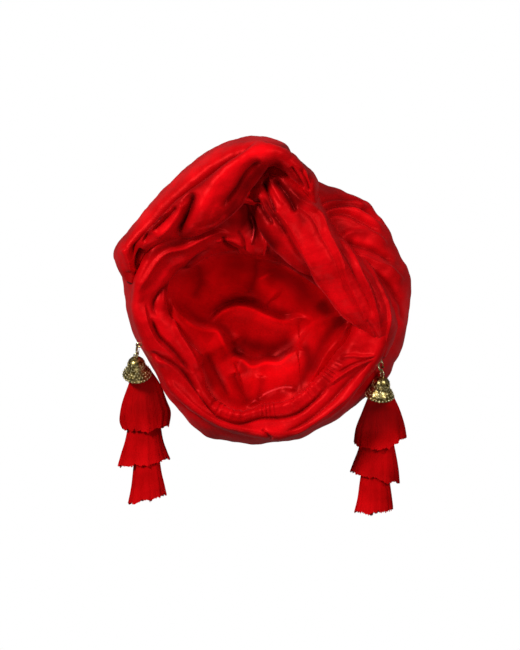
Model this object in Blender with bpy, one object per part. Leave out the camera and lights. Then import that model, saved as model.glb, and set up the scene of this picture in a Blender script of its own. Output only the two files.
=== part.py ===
"""Velvet turban with two hanging silk tassels, lying on its crown with the opening up.

The turban is built around its opening. At each angle round the opening a section runs from
the rest patch on the floor, up the side of the crown, over the rim band and down to the
opening. The crown and the rim band are walls on that section, the lining is a bowl that sags
inside it, and the two wound wraps are layers on top of it. Metres, +Z up, +X to the wearer's side, +Y to the brow with its twist.
"""

import math
from collections import namedtuple
from functools import lru_cache

import bmesh
import bpy
import numpy as np
from mathutils import Matrix, Vector

# Overall sizes of the turban
PLAN_WIDTH = 0.260
PLAN_DEPTH = 0.260
RIM_HEIGHT = 0.080

# Cloth
CROWN_WALL = 0.0020
LINING_WALL = 0.0020
LINING_LAP = 0.0030
BAND_THICKNESS = 0.0042
BAND_ROLL = 0.0055
WRAP_PUFF = 0.030
PLEAT_DEPTH = 0.0045
PINCH_HEIGHT = 0.012
PINCH_WIDTH = 0.019
SEAM_GAP = 0.0003
WRAP_GAP = 0.0008

# Metal fittings
CLASP_LENGTH = 0.0100
CLASP_WIDTH = 0.0066
CLASP_WIRE = 0.0016
EYE_RADIUS = 0.0014
EYE_WIRE = 0.0010
PIN_RADIUS = 0.00035
LEVER_WIRE = 0.0008
LEVER_EYE = 0.0011
RUN_CLEARANCE = 0.0003
RING_RADIUS = 0.0026
LINK_RADIUS = 0.0020
RING_WIRE = 0.0009
LOOP_RADIUS = 0.0016
CAP_RADIUS = 0.0125
CAP_HEIGHT = 0.0190
CAP_WALL = 0.0010
CAP_HOLES = 8
CAP_HOLE_RADIUS = 0.0008

# Tassels
TASSEL_LENGTH = 0.117
TASSEL_WIDTH = 0.047
TASSEL_THICKNESS = 0.017
TASSEL_HEAD = 0.0060
LOCKS = 13
LOCK_DEPTH = 0.0012
LOCK_RAG = 0.0022

# Mesh steps
AROUND = 60
BAND_AROUND = 54
RING_STEPS = 10
WIRE_SIDES = 5
CAP_STEPS = 16

Colour = namedtuple("Colour", "rgb roughness metallic")
VELVET = Colour((0.55, 0.004, 0.008), 0.75, 0.0)
SILK = Colour((0.48, 0.004, 0.008), 0.55, 0.0)
GOLD = Colour((0.62, 0.48, 0.20), 0.35, 1.0)

# The plan of the turban round its opening. bulge, lip and mouth are radii of the widest
# part of the crown, of the rim's outer edge and of the opening, as shares of half the plan.
# crest and dip are the heights of the rim band and of its inner edge, as shares of the rim.
Plan = namedtuple("Plan", "angle bulge lip mouth crest dip")
PLAN_ROWS = (
    Plan(0, 0.985, 0.840, 0.640, 0.91, 0.79),
    Plan(15, 1.045, 0.855, 0.590, 0.95, 0.79),
    Plan(30, 1.060, 0.870, 0.575, 0.99, 0.78),
    Plan(45, 1.070, 0.885, 0.550, 1.02, 0.77),
    Plan(60, 1.045, 0.900, 0.520, 1.04, 0.77),
    Plan(75, 1.050, 0.915, 0.475, 1.06, 0.78),
    Plan(90, 1.100, 0.928, 0.458, 1.08, 0.79),
    Plan(105, 1.100, 0.940, 0.520, 1.08, 0.81),
    Plan(120, 1.060, 0.940, 0.572, 1.06, 0.83),
    Plan(135, 1.040, 0.930, 0.615, 1.02, 0.84),
    Plan(150, 1.050, 0.915, 0.680, 0.97, 0.82),
    Plan(165, 1.000, 0.895, 0.685, 0.92, 0.79),
    Plan(180, 0.895, 0.868, 0.640, 0.87, 0.75),
    Plan(195, 0.840, 0.820, 0.560, 0.83, 0.70),
    Plan(210, 0.835, 0.780, 0.520, 0.80, 0.66),
    Plan(225, 0.865, 0.765, 0.582, 0.78, 0.66),
    Plan(240, 0.862, 0.757, 0.622, 0.77, 0.66),
    Plan(255, 0.833, 0.762, 0.612, 0.76, 0.66),
    Plan(270, 0.828, 0.785, 0.552, 0.75, 0.66),
    Plan(285, 0.830, 0.798, 0.553, 0.75, 0.66),
    Plan(300, 0.828, 0.787, 0.538, 0.76, 0.66),
    Plan(315, 0.835, 0.793, 0.530, 0.78, 0.67),
    Plan(330, 0.875, 0.797, 0.530, 0.81, 0.70),
    Plan(345, 0.940, 0.820, 0.558, 0.86, 0.75),
)

# The crown's side from the middle of the rest patch to its top edge under the rim band.
# reach is a share of the bulge, rise a share of the wall's height, lean the share of the
# way back from the bulge to the lip, and pleat the share of the pleats' full depth.
Side = namedtuple("Side", "reach rise lean pleat")
SIDE_ROWS = (
    Side(0.16, 0.00, 0.00, 0.0),
    Side(0.32, 0.00, 0.00, 0.0),
    Side(0.48, 0.00, 0.00, 0.0),
    Side(0.63, 0.00, 0.00, 0.0),
    Side(0.77, 0.04, 0.00, 0.2),
    Side(0.89, 0.13, 0.00, 0.5),
    Side(0.97, 0.28, 0.00, 0.8),
    Side(1.00, 0.46, 0.00, 1.0),
    Side(1.00, 0.63, 0.14, 1.0),
    Side(1.00, 0.79, 0.42, 1.0),
    Side(1.00, 0.91, 0.76, 0.7),
    Side(1.00, 1.00, 1.00, 0.3),
)
FLOOR_ROWS = 4
INNER_REACHES = (0.20, 0.47, 0.74)

# The rim band across its width, from the lip (0) to the opening's edge (1). roll is the
# height of its soft rolls, as a share of the band's roll, and fall how far it has come
# down from the crest to the inner edge.
Across = namedtuple("Across", "share roll fall")
BAND_ROWS = (
    Across(0.00, 0.00, 0.10),
    Across(0.07, 0.75, 0.00),
    Across(0.20, 1.00, 0.02),
    Across(0.36, 0.40, 0.14),
    Across(0.52, 0.75, 0.32),
    Across(0.70, 0.80, 0.56),
    Across(0.88, 0.45, 0.82),
    Across(1.00, 0.00, 1.00),
)

# Wound wraps. Each row is a section at an angle round the opening. outer and inner are the
# directions of its two edges, seen from the core of the rim's section, in degrees above the
# outward direction. puff is its thickness and edge its edges' thickness, as shares of the
# wrap's puff. valley and depth are the place and depth of its long fold.
Wound = namedtuple("Wound", "angle outer inner puff edge valley depth")
LEFT_ROWS = (
    Wound(160, 2, 34, 0.14, 0.12, 0.50, 0.20),
    Wound(156, -12, 50, 0.38, 0.14, 0.46, 0.45),
    Wound(150, -22, 60, 0.60, 0.15, 0.42, 0.55),
    Wound(142, -27, 70, 0.76, 0.16, 0.42, 0.50),
    Wound(132, -30, 84, 0.80, 0.18, 0.43, 0.42),
    Wound(120, -32, 86, 0.82, 0.20, 0.45, 0.36),
    Wound(108, -32, 80, 0.89, 0.22, 0.46, 0.33),
    Wound(98, -30, 66, 1.02, 0.24, 0.46, 0.33),
    Wound(90, -28, 48, 1.05, 0.26, 0.47, 0.30),
    Wound(83, -26, 42, 0.98, 0.26, 0.48, 0.26),
    Wound(76, -22, 50, 0.78, 0.24, 0.48, 0.22),
    Wound(70, -12, 60, 0.50, 0.18, 0.50, 0.16),
    Wound(65, 12, 58, 0.18, 0.12, 0.50, 0.10),
)
RIGHT_ROWS = (
    Wound(97, 50, 92, 0.18, 0.10, 0.50, 0.20),
    Wound(92, 38, 116, 0.34, 0.12, 0.48, 0.40),
    Wound(85, 34, 134, 0.46, 0.14, 0.46, 0.48),
    Wound(76, 42, 142, 0.54, 0.16, 0.45, 0.50),
    Wound(64, 52, 148, 0.58, 0.18, 0.45, 0.48),
    Wound(50, 55, 152, 0.60, 0.18, 0.46, 0.45),
    Wound(36, 52, 152, 0.58, 0.18, 0.48, 0.42),
    Wound(22, 46, 150, 0.54, 0.16, 0.50, 0.40),
    Wound(10, 38, 142, 0.46, 0.15, 0.50, 0.38),
    Wound(0, 34, 126, 0.38, 0.14, 0.50, 0.36),
    Wound(-8, 38, 104, 0.28, 0.12, 0.50, 0.30),
    Wound(-14, 48, 80, 0.15, 0.10, 0.50, 0.20),
)
WRAP_STEPS = 10
WRAP_STATIONS = 24
NEAR_STEPS = (-0.6, -0.3, 0.0, 0.3, 0.6)

# The lining's rings, as shares of the way from its middle to its edge under the rim band,
# and the share at which it starts to rise off the floor.
LINING_ROWS = (0.15, 0.32, 0.48, 0.62, 0.76, 0.89, 1.00)
LINING_START = 0.30
LINING_CALM = 0.70

# Folds pinched up in the lining: two ends, as shares of half the plan, and the height and
# width as shares of a full pinch.
Pinch = namedtuple("Pinch", "x0 y0 x1 y1 height width")
PINCH_ROWS = (
    Pinch(-0.60, 0.10, -0.22, -0.20, 0.90, 0.9),
    Pinch(-0.33, 0.08, 0.26, 0.05, 1.00, 1.0),
    Pinch(-0.25, -0.22, 0.26, -0.22, 0.95, 1.0),
    Pinch(0.56, 0.00, 0.33, -0.38, 0.80, 0.9),
)

# Pleats that fan out from the twist over the crown's side
TWIST_X = 0.37
TWIST_Y = 0.83
FAN_PITCH = math.radians(13.0)
FAN_START = math.radians(20.0)
FAN_END = math.radians(-70.0)

# Where the fittings hang on the crown's side: the ring's angle round the opening and its
# rise as a share of the wall's height, then the way that the chain, the cap and the tassel
# go: a heading in the plan, and a fall below the horizontal, both in degrees.
Hang = namedtuple("Hang", "side angle rise chain_heading chain_fall cap_heading cap_fall lay")
HANG_ROWS = (
    Hang("left", 189.5, 0.96, 248.0, 48.0, 272.0, 38.0, 272.5),
    Hang("right", -16.3, 0.96, 281.0, 22.0, 264.0, 26.0, 267.5),
)

# The tiers of a tassel: where each ends along it, and the widths at its neck, its middle
# and its cut ends, as shares of the tassel's width.
Tier = namedtuple("Tier", "end neck middle flare")
TIER_ROWS = (
    Tier(0.45, 0.46, 0.86, 1.00),
    Tier(0.73, 0.74, 0.86, 0.92),
    Tier(1.00, 0.62, 0.68, 0.74),
)

# The cap's outer profile from its top to its mouth: shares of its radius and height.
Turned = namedtuple("Turned", "radius height")
CAP_ROWS = (
    Turned(0.14, 0.00),
    Turned(0.38, 0.05),
    Turned(0.55, 0.17),
    Turned(0.63, 0.33),
    Turned(0.64, 0.52),
    Turned(0.74, 0.63),
    Turned(0.94, 0.77),
    Turned(1.00, 1.00),
)


def clear_scene():
    for old in list(bpy.data.objects):
        bpy.data.objects.remove(old, do_unlink=True)


def smooth(value):
    value = min(max(value, 0.0), 1.0)
    return value * value * (3.0 - 2.0 * value)


def catmull(p0, p1, p2, p3, t):
    return 0.5 * (
        2.0 * p1
        + (p2 - p0) * t
        + (2.0 * p0 - 5.0 * p1 + 4.0 * p2 - p3) * t * t
        + (3.0 * p1 - p0 - 3.0 * p2 + p3) * t * t * t
    )


@lru_cache(maxsize=None)
def plan_at(angle):
    """The plan row at any angle in degrees, on a smooth closed curve through the table."""
    step = 360.0 / len(PLAN_ROWS)
    place = (angle % 360.0) / step
    index = int(place)
    rows = [np.array(PLAN_ROWS[(index + shift) % len(PLAN_ROWS)][1:]) for shift in (-1, 0, 1, 2)]
    return Plan(angle, *catmull(*rows, place - index))


def station_at(rows, share):
    """A section between the rows of an open table, on a smooth curve through them."""
    place = share * (len(rows) - 1)
    index = min(int(place), len(rows) - 2)
    last = len(rows) - 1
    picks = [np.array(rows[min(max(index + shift, 0), last)]) for shift in (-1, 0, 1, 2)]
    return type(rows[0])(*catmull(*picks, place - index))


def place(angle, radius, height):
    """A point from its angle, its radius as a share of half the plan, and its height."""
    turn = math.radians(angle)
    return Vector((
        radius * math.cos(turn) * PLAN_WIDTH / 2,
        radius * math.sin(turn) * PLAN_DEPTH / 2,
        height,
    ))


def half_plan(angle):
    """Half the plan's size in one direction, which turns radius shares into metres."""
    turn = math.radians(angle)
    return math.hypot(math.cos(turn) * PLAN_WIDTH, math.sin(turn) * PLAN_DEPTH) / 2


def band_top(angle, plan):
    """The rim band's upper line in one section: radius in metres and height."""
    half = half_plan(angle)
    points = []
    for row in BAND_ROWS:
        radius = (plan.lip + (plan.mouth - plan.lip) * row.share) * half
        drop = (plan.crest - plan.dip) * RIM_HEIGHT * row.fall
        points.append((radius, plan.crest * RIM_HEIGHT - drop + BAND_ROLL * row.roll))
    return points


def wall_height(plan):
    """The height of the crown's top edge, just under the rim band's outer edge."""
    first = BAND_ROWS[0]
    drop = (plan.crest - plan.dip) * RIM_HEIGHT * first.fall
    return plan.crest * RIM_HEIGHT - drop - BAND_THICKNESS - SEAM_GAP


def crown_side(angle, plan):
    """The crown's outer line in one section, from the rest patch to its top edge."""
    half = half_plan(angle)
    top = wall_height(plan)
    points = []
    for row in SIDE_ROWS:
        radius = plan.bulge * row.reach + (plan.lip - plan.bulge) * row.lean
        points.append((radius * half, top * row.rise))
    return points


def core(angle, plan):
    """The middle of the rim's section, from which the wraps' edges and layers are set out."""
    radius = 0.5 * (plan.lip + plan.mouth) * half_plan(angle)
    return radius, 0.58 * plan.crest * RIM_HEIGHT


@lru_cache(maxsize=None)
def surface_line(angle):
    """The turban's whole outer line in one section, carried on down inside the opening."""
    plan = plan_at(angle)
    line = crown_side(angle, plan)[FLOOR_ROWS:] + band_top(angle, plan)
    last_r, last_z = line[-1]
    line.append((last_r - BAND_THICKNESS, last_z - 3.0 * BAND_THICKNESS))
    line.append((last_r - BAND_THICKNESS, 0.0))
    return line


def reach(angle, lift):
    """How far the turban's surface is from the core, in a direction given in degrees."""
    core_r, core_z = core(angle, plan_at(angle))
    line = surface_line(angle)
    turn = math.radians(lift)
    ray_r, ray_z = math.cos(turn), math.sin(turn)
    best = 0.0
    for (r0, z0), (r1, z1) in zip(line, line[1:]):
        edge_r, edge_z = r1 - r0, z1 - z0
        cross = ray_r * edge_z - ray_z * edge_r
        if abs(cross) < 1e-12:
            continue
        along = ((r0 - core_r) * edge_z - (z0 - core_z) * edge_r) / cross
        share = ((r0 - core_r) * ray_z - (z0 - core_z) * ray_r) / cross
        if along > 0.0 and -1e-6 <= share <= 1.0 + 1e-6:
            best = max(best, along)
    return best


def wound_layer(row, share, pleats):
    """A wrap's thickness across its width: a rounded band with a long fold and pleats."""
    crown_shape = math.sin(math.pi * share) ** 0.55
    fold = row.depth * math.exp(-((share - row.valley) / 0.085) ** 2)
    ripple = 1.0 - 0.10 * pleats * (0.5 - 0.5 * math.cos(2.0 * math.pi * 4.0 * share))
    body = row.puff * crown_shape * (1.0 - fold) * ripple
    return WRAP_PUFF * (row.edge * (1.0 - crown_shape) + body)


def right_cover(angle, lift):
    """How thick the right wrap lies on the turban in one direction, or nothing."""
    first, last = RIGHT_ROWS[0].angle, RIGHT_ROWS[-1].angle
    if not last < angle < first:
        return 0.0
    angles = [row.angle for row in RIGHT_ROWS]
    place_in = np.interp(-angle, [-a for a in angles], range(len(angles)))
    row = station_at(RIGHT_ROWS, place_in / (len(angles) - 1))
    share = (lift - row.outer) / (row.inner - row.outer)
    if share < -0.12 or share > 1.12:
        return 0.0
    return wound_layer(row, min(max(share, 0.0), 1.0), 1.0) + WRAP_GAP


def covering_reach(angle, turn_step, lift, lift_step, covered):
    """The farthest reach within half a step each way, so that flat facets clear the surface."""
    farthest = 0.0
    cover = 0.0
    for turn in NEAR_STEPS:
        near = angle + turn * turn_step
        for tilt in NEAR_STEPS:
            tilted = lift + tilt * lift_step
            farthest = max(farthest, reach(near, tilted))
            if covered:
                cover = max(cover, right_cover(near, tilted))
    return farthest + cover


def loft(name, sections, closed=False):
    """A closed body through sections of equal point counts, capped at its ends."""
    body = bmesh.new()
    rings = [[body.verts.new(point) for point in section] for section in sections]
    count = len(rings[0])
    pairs = list(zip(rings, rings[1:]))
    if closed:
        pairs.append((rings[-1], rings[0]))
    for low, high in pairs:
        for i in range(count):
            j = (i + 1) % count
            body.faces.new((low[i], low[j], high[j], high[i]))
    if not closed:
        cap_end(body, rings[0][::-1])
        cap_end(body, rings[-1])
    bmesh.ops.triangulate(body, faces=body.faces[:])
    bmesh.ops.recalc_face_normals(body, faces=body.faces[:])
    mesh = bpy.data.meshes.new(name)
    body.to_mesh(mesh)
    body.free()
    return mesh


def cap_end(body, ring):
    """An end closed by strips between its two long sides, which holds for a hollow curve."""
    last = len(ring) - 1
    for i in range(last // 2):
        corners = [ring[i], ring[i + 1], ring[last - i - 1], ring[last - i]]
        body.faces.new(dict.fromkeys(corners))


def add_piece(name, mesh, colour, parent=None, matrix=None):
    """One named object with its own material."""
    for face in mesh.polygons:
        face.use_smooth = True
    mesh.set_sharp_from_angle(angle=math.radians(50.0))
    material = bpy.data.materials.new(name)
    material.use_nodes = True
    shader = material.node_tree.nodes["Principled BSDF"]
    shader.inputs["Base Color"].default_value = (*colour.rgb, 1.0)
    shader.inputs["Roughness"].default_value = colour.roughness
    shader.inputs["Metallic"].default_value = colour.metallic
    mesh.materials.append(material)
    piece = bpy.data.objects.new(name, mesh)
    bpy.context.scene.collection.objects.link(piece)
    if matrix is not None:
        piece.matrix_world = matrix
    if parent is not None:
        piece.parent = parent
    return piece


def fan_pleat(x, y):
    """How deep the pleats that fan out from the twist are at a point of the plan, 0 to 1."""
    dx = x - TWIST_X * PLAN_WIDTH / 2
    dy = y - TWIST_Y * PLAN_DEPTH / 2
    angle = math.atan2(dy, dx)
    if not FAN_END < angle < FAN_START:
        return 0.0
    span = FAN_START - FAN_END
    edge = math.sin(math.pi * (FAN_START - angle) / span)
    wave = 0.5 - 0.5 * math.cos(2.0 * math.pi * (FAN_START - angle) / FAN_PITCH)
    return wave * smooth(2.5 * edge)


def pinch_lift(point):
    """How far the lining's folds stand up at a point of the plan."""
    lift = 0.0
    for row in PINCH_ROWS:
        start = Vector((row.x0 * PLAN_WIDTH / 2, row.y0 * PLAN_DEPTH / 2))
        end = Vector((row.x1 * PLAN_WIDTH / 2, row.y1 * PLAN_DEPTH / 2))
        line = end - start
        flat = Vector((point.x, point.y))
        share = min(max((flat - start).dot(line) / line.length_squared, 0.0), 1.0)
        gap = (flat - start - line * share).length
        spread = PINCH_WIDTH * row.width
        if gap < spread:
            swell = (1.0 - (gap / spread) ** 2) ** 2
            lift = max(lift, swell * row.height * PINCH_HEIGHT)
    return lift


def offset_line(line, wall):
    """A section's line moved inward, towards the hollow, by the wall."""
    moved = []
    for i, (r, z) in enumerate(line):
        r0, z0 = line[max(i - 1, 0)]
        r1, z1 = line[min(i + 1, len(line) - 1)]
        length = math.hypot(r1 - r0, z1 - z0)
        moved.append((r - wall * (z1 - z0) / length, z + wall * (r1 - r0) / length))
    return moved


def build_crown():
    """The crown: a hollow bag with pleats that fan from the twist, resting on its top."""
    body = bmesh.new()
    outer_rings = [[] for _ in SIDE_ROWS]
    inner_count = len(INNER_REACHES) + len(SIDE_ROWS) - FLOOR_ROWS - 1
    inner_rings = [[] for _ in range(inner_count)]
    for step in range(AROUND):
        angle = 360.0 * step / AROUND
        plan = plan_at(angle)
        half = half_plan(angle)
        line = crown_side(angle, plan)
        inner = offset_line(line, CROWN_WALL)
        pleated_outer = []
        pleated_inner = []
        for row, (r, z), (inner_r, inner_z) in zip(SIDE_ROWS, line, inner):
            spot = place(angle, r / half, z)
            dent = PLEAT_DEPTH * row.pleat * fan_pleat(spot.x, spot.y)
            pleated_outer.append((r - dent, z))
            pleated_inner.append((inner_r - dent, inner_z))
        for ring, (r, z) in zip(outer_rings, pleated_outer):
            ring.append(body.verts.new(place(angle, r / half, z)))
        for ring, share in zip(inner_rings, INNER_REACHES):
            floor_r = pleated_inner[FLOOR_ROWS][0] * share / INNER_REACHES[-1]
            ring.append(body.verts.new(place(angle, floor_r / half, CROWN_WALL)))
        for ring, (r, z) in zip(inner_rings[len(INNER_REACHES):], pleated_inner[FLOOR_ROWS + 1:]):
            ring.append(body.verts.new(place(angle, r / half, z)))
    chain = outer_rings + inner_rings[::-1]
    for low, high in zip(chain, chain[1:]):
        for i in range(AROUND):
            j = (i + 1) % AROUND
            body.faces.new((low[i], low[j], high[j], high[i]))
    bottom = body.verts.new((0.0, 0.0, 0.0))
    top = body.verts.new((0.0, 0.0, CROWN_WALL))
    for i in range(AROUND):
        j = (i + 1) % AROUND
        body.faces.new((bottom, outer_rings[0][j], outer_rings[0][i]))
        body.faces.new((top, inner_rings[0][i], inner_rings[0][j]))
    bmesh.ops.triangulate(body, faces=body.faces[:])
    bmesh.ops.recalc_face_normals(body, faces=body.faces[:])
    mesh = bpy.data.meshes.new("crown")
    body.to_mesh(mesh)
    body.free()
    add_piece("crown", mesh, VELVET)


def lining_height(point, share, floor_z, top_z):
    """The lining's upper side: flat in the middle, rising to its edge, with pinched folds."""
    rise = smooth((share - LINING_START) / (1.02 - LINING_START)) ** 1.15
    calm = 1.0 - smooth((share - LINING_CALM) / (1.0 - LINING_CALM))
    return floor_z + (top_z - floor_z) * rise + pinch_lift(point) * calm


def build_lining():
    """The lining: a thin bowl of cloth that sags from under the rim band on to the crown."""
    body = bmesh.new()
    floor_z = CROWN_WALL + SEAM_GAP + LINING_WALL
    uppers = []
    lowers = []
    for share in LINING_ROWS:
        upper = []
        lower = []
        for step in range(BAND_AROUND):
            angle = 360.0 * step / BAND_AROUND
            plan = plan_at(angle)
            half = half_plan(angle)
            top_z = plan.dip * RIM_HEIGHT - BAND_THICKNESS - 2.0 * SEAM_GAP
            point = place(angle, share * (plan.mouth + LINING_LAP / half), 0.0)
            point.z = lining_height(point, share, floor_z, top_z)
            upper.append(body.verts.new(point))
            lower.append(body.verts.new(point - Vector((0.0, 0.0, LINING_WALL))))
        uppers.append(upper)
        lowers.append(lower)
    chain = lowers + uppers[::-1]
    for low, high in zip(chain, chain[1:]):
        for i in range(BAND_AROUND):
            j = (i + 1) % BAND_AROUND
            body.faces.new((low[i], low[j], high[j], high[i]))
    middle_z = lining_height(Vector(), 0.0, floor_z, floor_z)
    top = body.verts.new((0.0, 0.0, middle_z))
    bottom = body.verts.new((0.0, 0.0, middle_z - LINING_WALL))
    for i in range(BAND_AROUND):
        j = (i + 1) % BAND_AROUND
        body.faces.new((top, uppers[0][i], uppers[0][j]))
        body.faces.new((bottom, lowers[0][j], lowers[0][i]))
    bmesh.ops.triangulate(body, faces=body.faces[:])
    bmesh.ops.recalc_face_normals(body, faces=body.faces[:])
    mesh = bpy.data.meshes.new("lining")
    body.to_mesh(mesh)
    body.free()
    add_piece("lining", mesh, VELVET)


def build_band():
    """The rim band: a soft rolled facing from the lip down to the edge of the opening."""
    sections = []
    for step in range(BAND_AROUND):
        angle = 360.0 * step / BAND_AROUND
        plan = plan_at(angle)
        half = half_plan(angle)
        top = band_top(angle, plan)
        under = [(r, z - BAND_THICKNESS) for r, z in top[1:-1]]
        floor_z = wall_height(plan) + SEAM_GAP
        under = [(r, max(z, floor_z) if r > top[2][0] else z) for r, z in under]
        first_r, first_z = top[0]
        last_r, last_z = top[-1]
        outer_edge = [(first_r, floor_z)]
        inner_edge = [(last_r, last_z - BAND_THICKNESS)]
        loop = top + inner_edge + under[::-1] + outer_edge
        sections.append([place(angle, r / half, z) for r, z in loop])
    add_piece("rim_band", loft("rim_band", sections, closed=True), VELVET)


def build_wrap(name, rows, pleats, covered):
    """A wound wrap: a padded layer on the turban between its two edges."""
    sections = []
    turn_step = (rows[-1].angle - rows[0].angle) / (WRAP_STATIONS - 1)
    for step in range(WRAP_STATIONS):
        row = station_at(rows, step / (WRAP_STATIONS - 1))
        plan = plan_at(row.angle)
        half = half_plan(row.angle)
        core_r, core_z = core(row.angle, plan)
        upper = []
        lower = []
        lift_step = (row.inner - row.outer) / (WRAP_STEPS - 1)
        for i in range(WRAP_STEPS):
            share = i / (WRAP_STEPS - 1)
            lift = row.outer + (row.inner - row.outer) * share
            base = covering_reach(row.angle, turn_step, lift, lift_step, covered) + WRAP_GAP
            turn = math.radians(lift)
            far = base + wound_layer(row, share, pleats)
            upper.append((core_r + far * math.cos(turn), core_z + far * math.sin(turn)))
            lower.append((core_r + base * math.cos(turn), core_z + base * math.sin(turn)))
        loop = upper + lower[::-1]
        sections.append([place(row.angle, r / half, z) for r, z in loop])
    add_piece(name, loft(name, sections), VELVET)


def tube(name, points, radii, across, closed=False):
    """A wire through points. across is the direction that its first side faces."""
    sections = []
    count = len(points)
    for i, point in enumerate(points):
        before = points[(i - 1) % count] if closed or i > 0 else point
        after = points[(i + 1) % count] if closed or i < count - 1 else point
        along = (after - before).normalized()
        side = (across - along * across.dot(along)).normalized()
        other = along.cross(side)
        ring = []
        for k in range(WIRE_SIDES):
            turn = 2.0 * math.pi * k / WIRE_SIDES
            ring.append(point + (side * math.cos(turn) + other * math.sin(turn)) * radii)
        sections.append(ring)
    return loft(name, sections, closed)


def ring_points(radius, centre=Vector((0, 0, 0)), first=Vector((1, 0, 0)), second=Vector((0, 1, 0))):
    points = []
    for k in range(RING_STEPS):
        turn = 2.0 * math.pi * k / RING_STEPS
        points.append(centre + first * radius * math.cos(turn) + second * radius * math.sin(turn))
    return points


def turned(name, outline):
    """A solid of revolution about Z through an outline of radius and height pairs."""
    sections = []
    for radius, height in outline:
        ring = []
        for k in range(RING_STEPS):
            turn = 2.0 * math.pi * k / RING_STEPS
            ring.append(Vector((radius * math.cos(turn), radius * math.sin(turn), height)))
        sections.append(ring)
    return loft(name, sections)


def join_solids(name, meshes):
    """Several closed meshes joined into one closed body."""
    bodies = []
    for mesh in meshes:
        body = bpy.data.objects.new(name, mesh)
        bpy.context.scene.collection.objects.link(body)
        bodies.append(body)
    main = bodies[0]
    for other in bodies[1:]:
        union = main.modifiers.new("union", "BOOLEAN")
        union.operation = "UNION"
        union.solver = "EXACT"
        union.object = other
    depsgraph = bpy.context.evaluated_depsgraph_get()
    joined = bpy.data.meshes.new_from_object(main.evaluated_get(depsgraph))
    for body in bodies:
        bpy.data.objects.remove(body, do_unlink=True)
    return joined


def side_point(angle, rise):
    """A point on the crown's side at a share of the wall's height, and the way out there."""
    plan = plan_at(angle)
    line = crown_side(angle, plan)
    half = half_plan(angle)
    target = rise * line[-1][1]
    for (r0, z0), (r1, z1) in zip(line[FLOOR_ROWS:], line[FLOOR_ROWS + 1:]):
        if z0 <= target <= z1:
            share = (target - z0) / (z1 - z0)
            point = place(angle, (r0 + (r1 - r0) * share) / half, target)
            turn = math.radians(angle)
            outward = Vector((math.cos(turn), math.sin(turn), 0.0)) * (z1 - z0)
            outward.z = r0 - r1
            return point, outward.normalized()
    raise ValueError("rise is outside the crown's side")


def aim(heading, fall):
    """A direction from its heading in the plan and its fall below the horizontal."""
    turn, drop = math.radians(heading), math.radians(fall)
    flat = math.cos(drop)
    return Vector((math.cos(turn) * flat, math.sin(turn) * flat, -math.sin(drop)))


def frame_matrix(origin, along, normal):
    """A matrix whose X runs across, Y runs along and Z stands on the normal."""
    up = (normal - along * along.dot(normal)).normalized()
    across = along.cross(up)
    turn = Matrix((across, along, up)).transposed()
    return Matrix.Translation(origin) @ turn.to_4x4()


def wire_ring(name, radius, wire, centre, first, second):
    points = ring_points(radius, centre, first, second)
    return tube(name, points, wire / 2, first.cross(second), closed=True)


def oval_point(angle):
    """A point on the clasp's oval: X across, Y along from the top of the clasp."""
    turn = math.radians(angle)
    half = CLASP_LENGTH / 2
    return Vector((CLASP_WIDTH / 2 * math.cos(turn), half - half * math.sin(turn), 0.0))


def oval_arc(start, end, steps):
    return [oval_point(start + (end - start) * i / steps) for i in range(steps + 1)]


LEVER_ROOT = 222.0
LEVER_TIP = 138.0
CLAW_TIP = 122.0
CLAW_ROOT = -108.0


def build_clasp(side, matrix):
    """The clasp's open claw with its base eye and the pin that its lever turns on."""
    claw = tube("claw", oval_arc(CLAW_ROOT, CLAW_TIP, 13), CLASP_WIRE / 2, Vector((0, 0, 1)))
    eye_centre = Vector((0.0, CLASP_LENGTH + EYE_RADIUS, 0.0))
    eye = wire_ring("eye", EYE_RADIUS, EYE_WIRE, eye_centre, Vector((1, 0, 0)), Vector((0, 1, 0)))
    root = oval_point(LEVER_ROOT)
    half_gap = LEVER_WIRE / 2 + RUN_CLEARANCE
    arm_wire = CLASP_WIRE * 0.38
    cheek = LEVER_EYE * 0.9
    cheek_top = half_gap + arm_wire
    pin = turned("pin", (
        (cheek, -cheek_top), (cheek, -half_gap), (PIN_RADIUS, -half_gap),
        (PIN_RADIUS, half_gap), (cheek, half_gap), (cheek, cheek_top),
    ))
    pin.transform(Matrix.Translation(root))
    low = oval_point(CLAW_ROOT)
    up = Vector((0.0, 0.0, cheek_top))
    arms = [tube("knuckle", [low - up, low + up], CLASP_WIRE * 0.38, Vector((1, 0, 0)))]
    for level in (-1.0, 1.0):
        rise = Vector((0.0, 0.0, level * (half_gap + cheek_top) / 2))
        arms.append(tube("arm", [low + rise, root + rise], arm_wire / 2, Vector((0, 0, 1))))
    mesh = join_solids("clasp_" + side, [claw, eye, pin] + arms)
    return add_piece("clasp_" + side, mesh, GOLD, matrix=matrix)


def build_lever(side, clasp_matrix):
    """The lever that closes the claw, with its eye round the clasp's pin."""
    root = oval_point(LEVER_ROOT)
    hole = PIN_RADIUS + RUN_CLEARANCE
    outline = ((hole, -LEVER_WIRE / 2), (LEVER_EYE, -LEVER_WIRE / 2),
               (LEVER_EYE, LEVER_WIRE / 2), (hole, LEVER_WIRE / 2))
    rings = []
    for k in range(RING_STEPS):
        turn = 2.0 * math.pi * k / RING_STEPS
        rings.append([Vector((r * math.cos(turn), r * math.sin(turn), z)) for r, z in outline])
    eye = loft("lever_eye", rings, closed=True)
    inset = (LEVER_EYE + hole) / 2
    arc = [point - root for point in oval_arc(LEVER_ROOT, LEVER_TIP, 8)]
    arc[0] = arc[1].normalized() * inset
    bar = tube("lever_bar", arc, LEVER_WIRE / 2, Vector((0, 0, 1)))
    mesh = join_solids("lever_" + side, [eye, bar])
    return add_piece("lever_" + side, mesh, GOLD, matrix=clasp_matrix @ Matrix.Translation(root))


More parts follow.
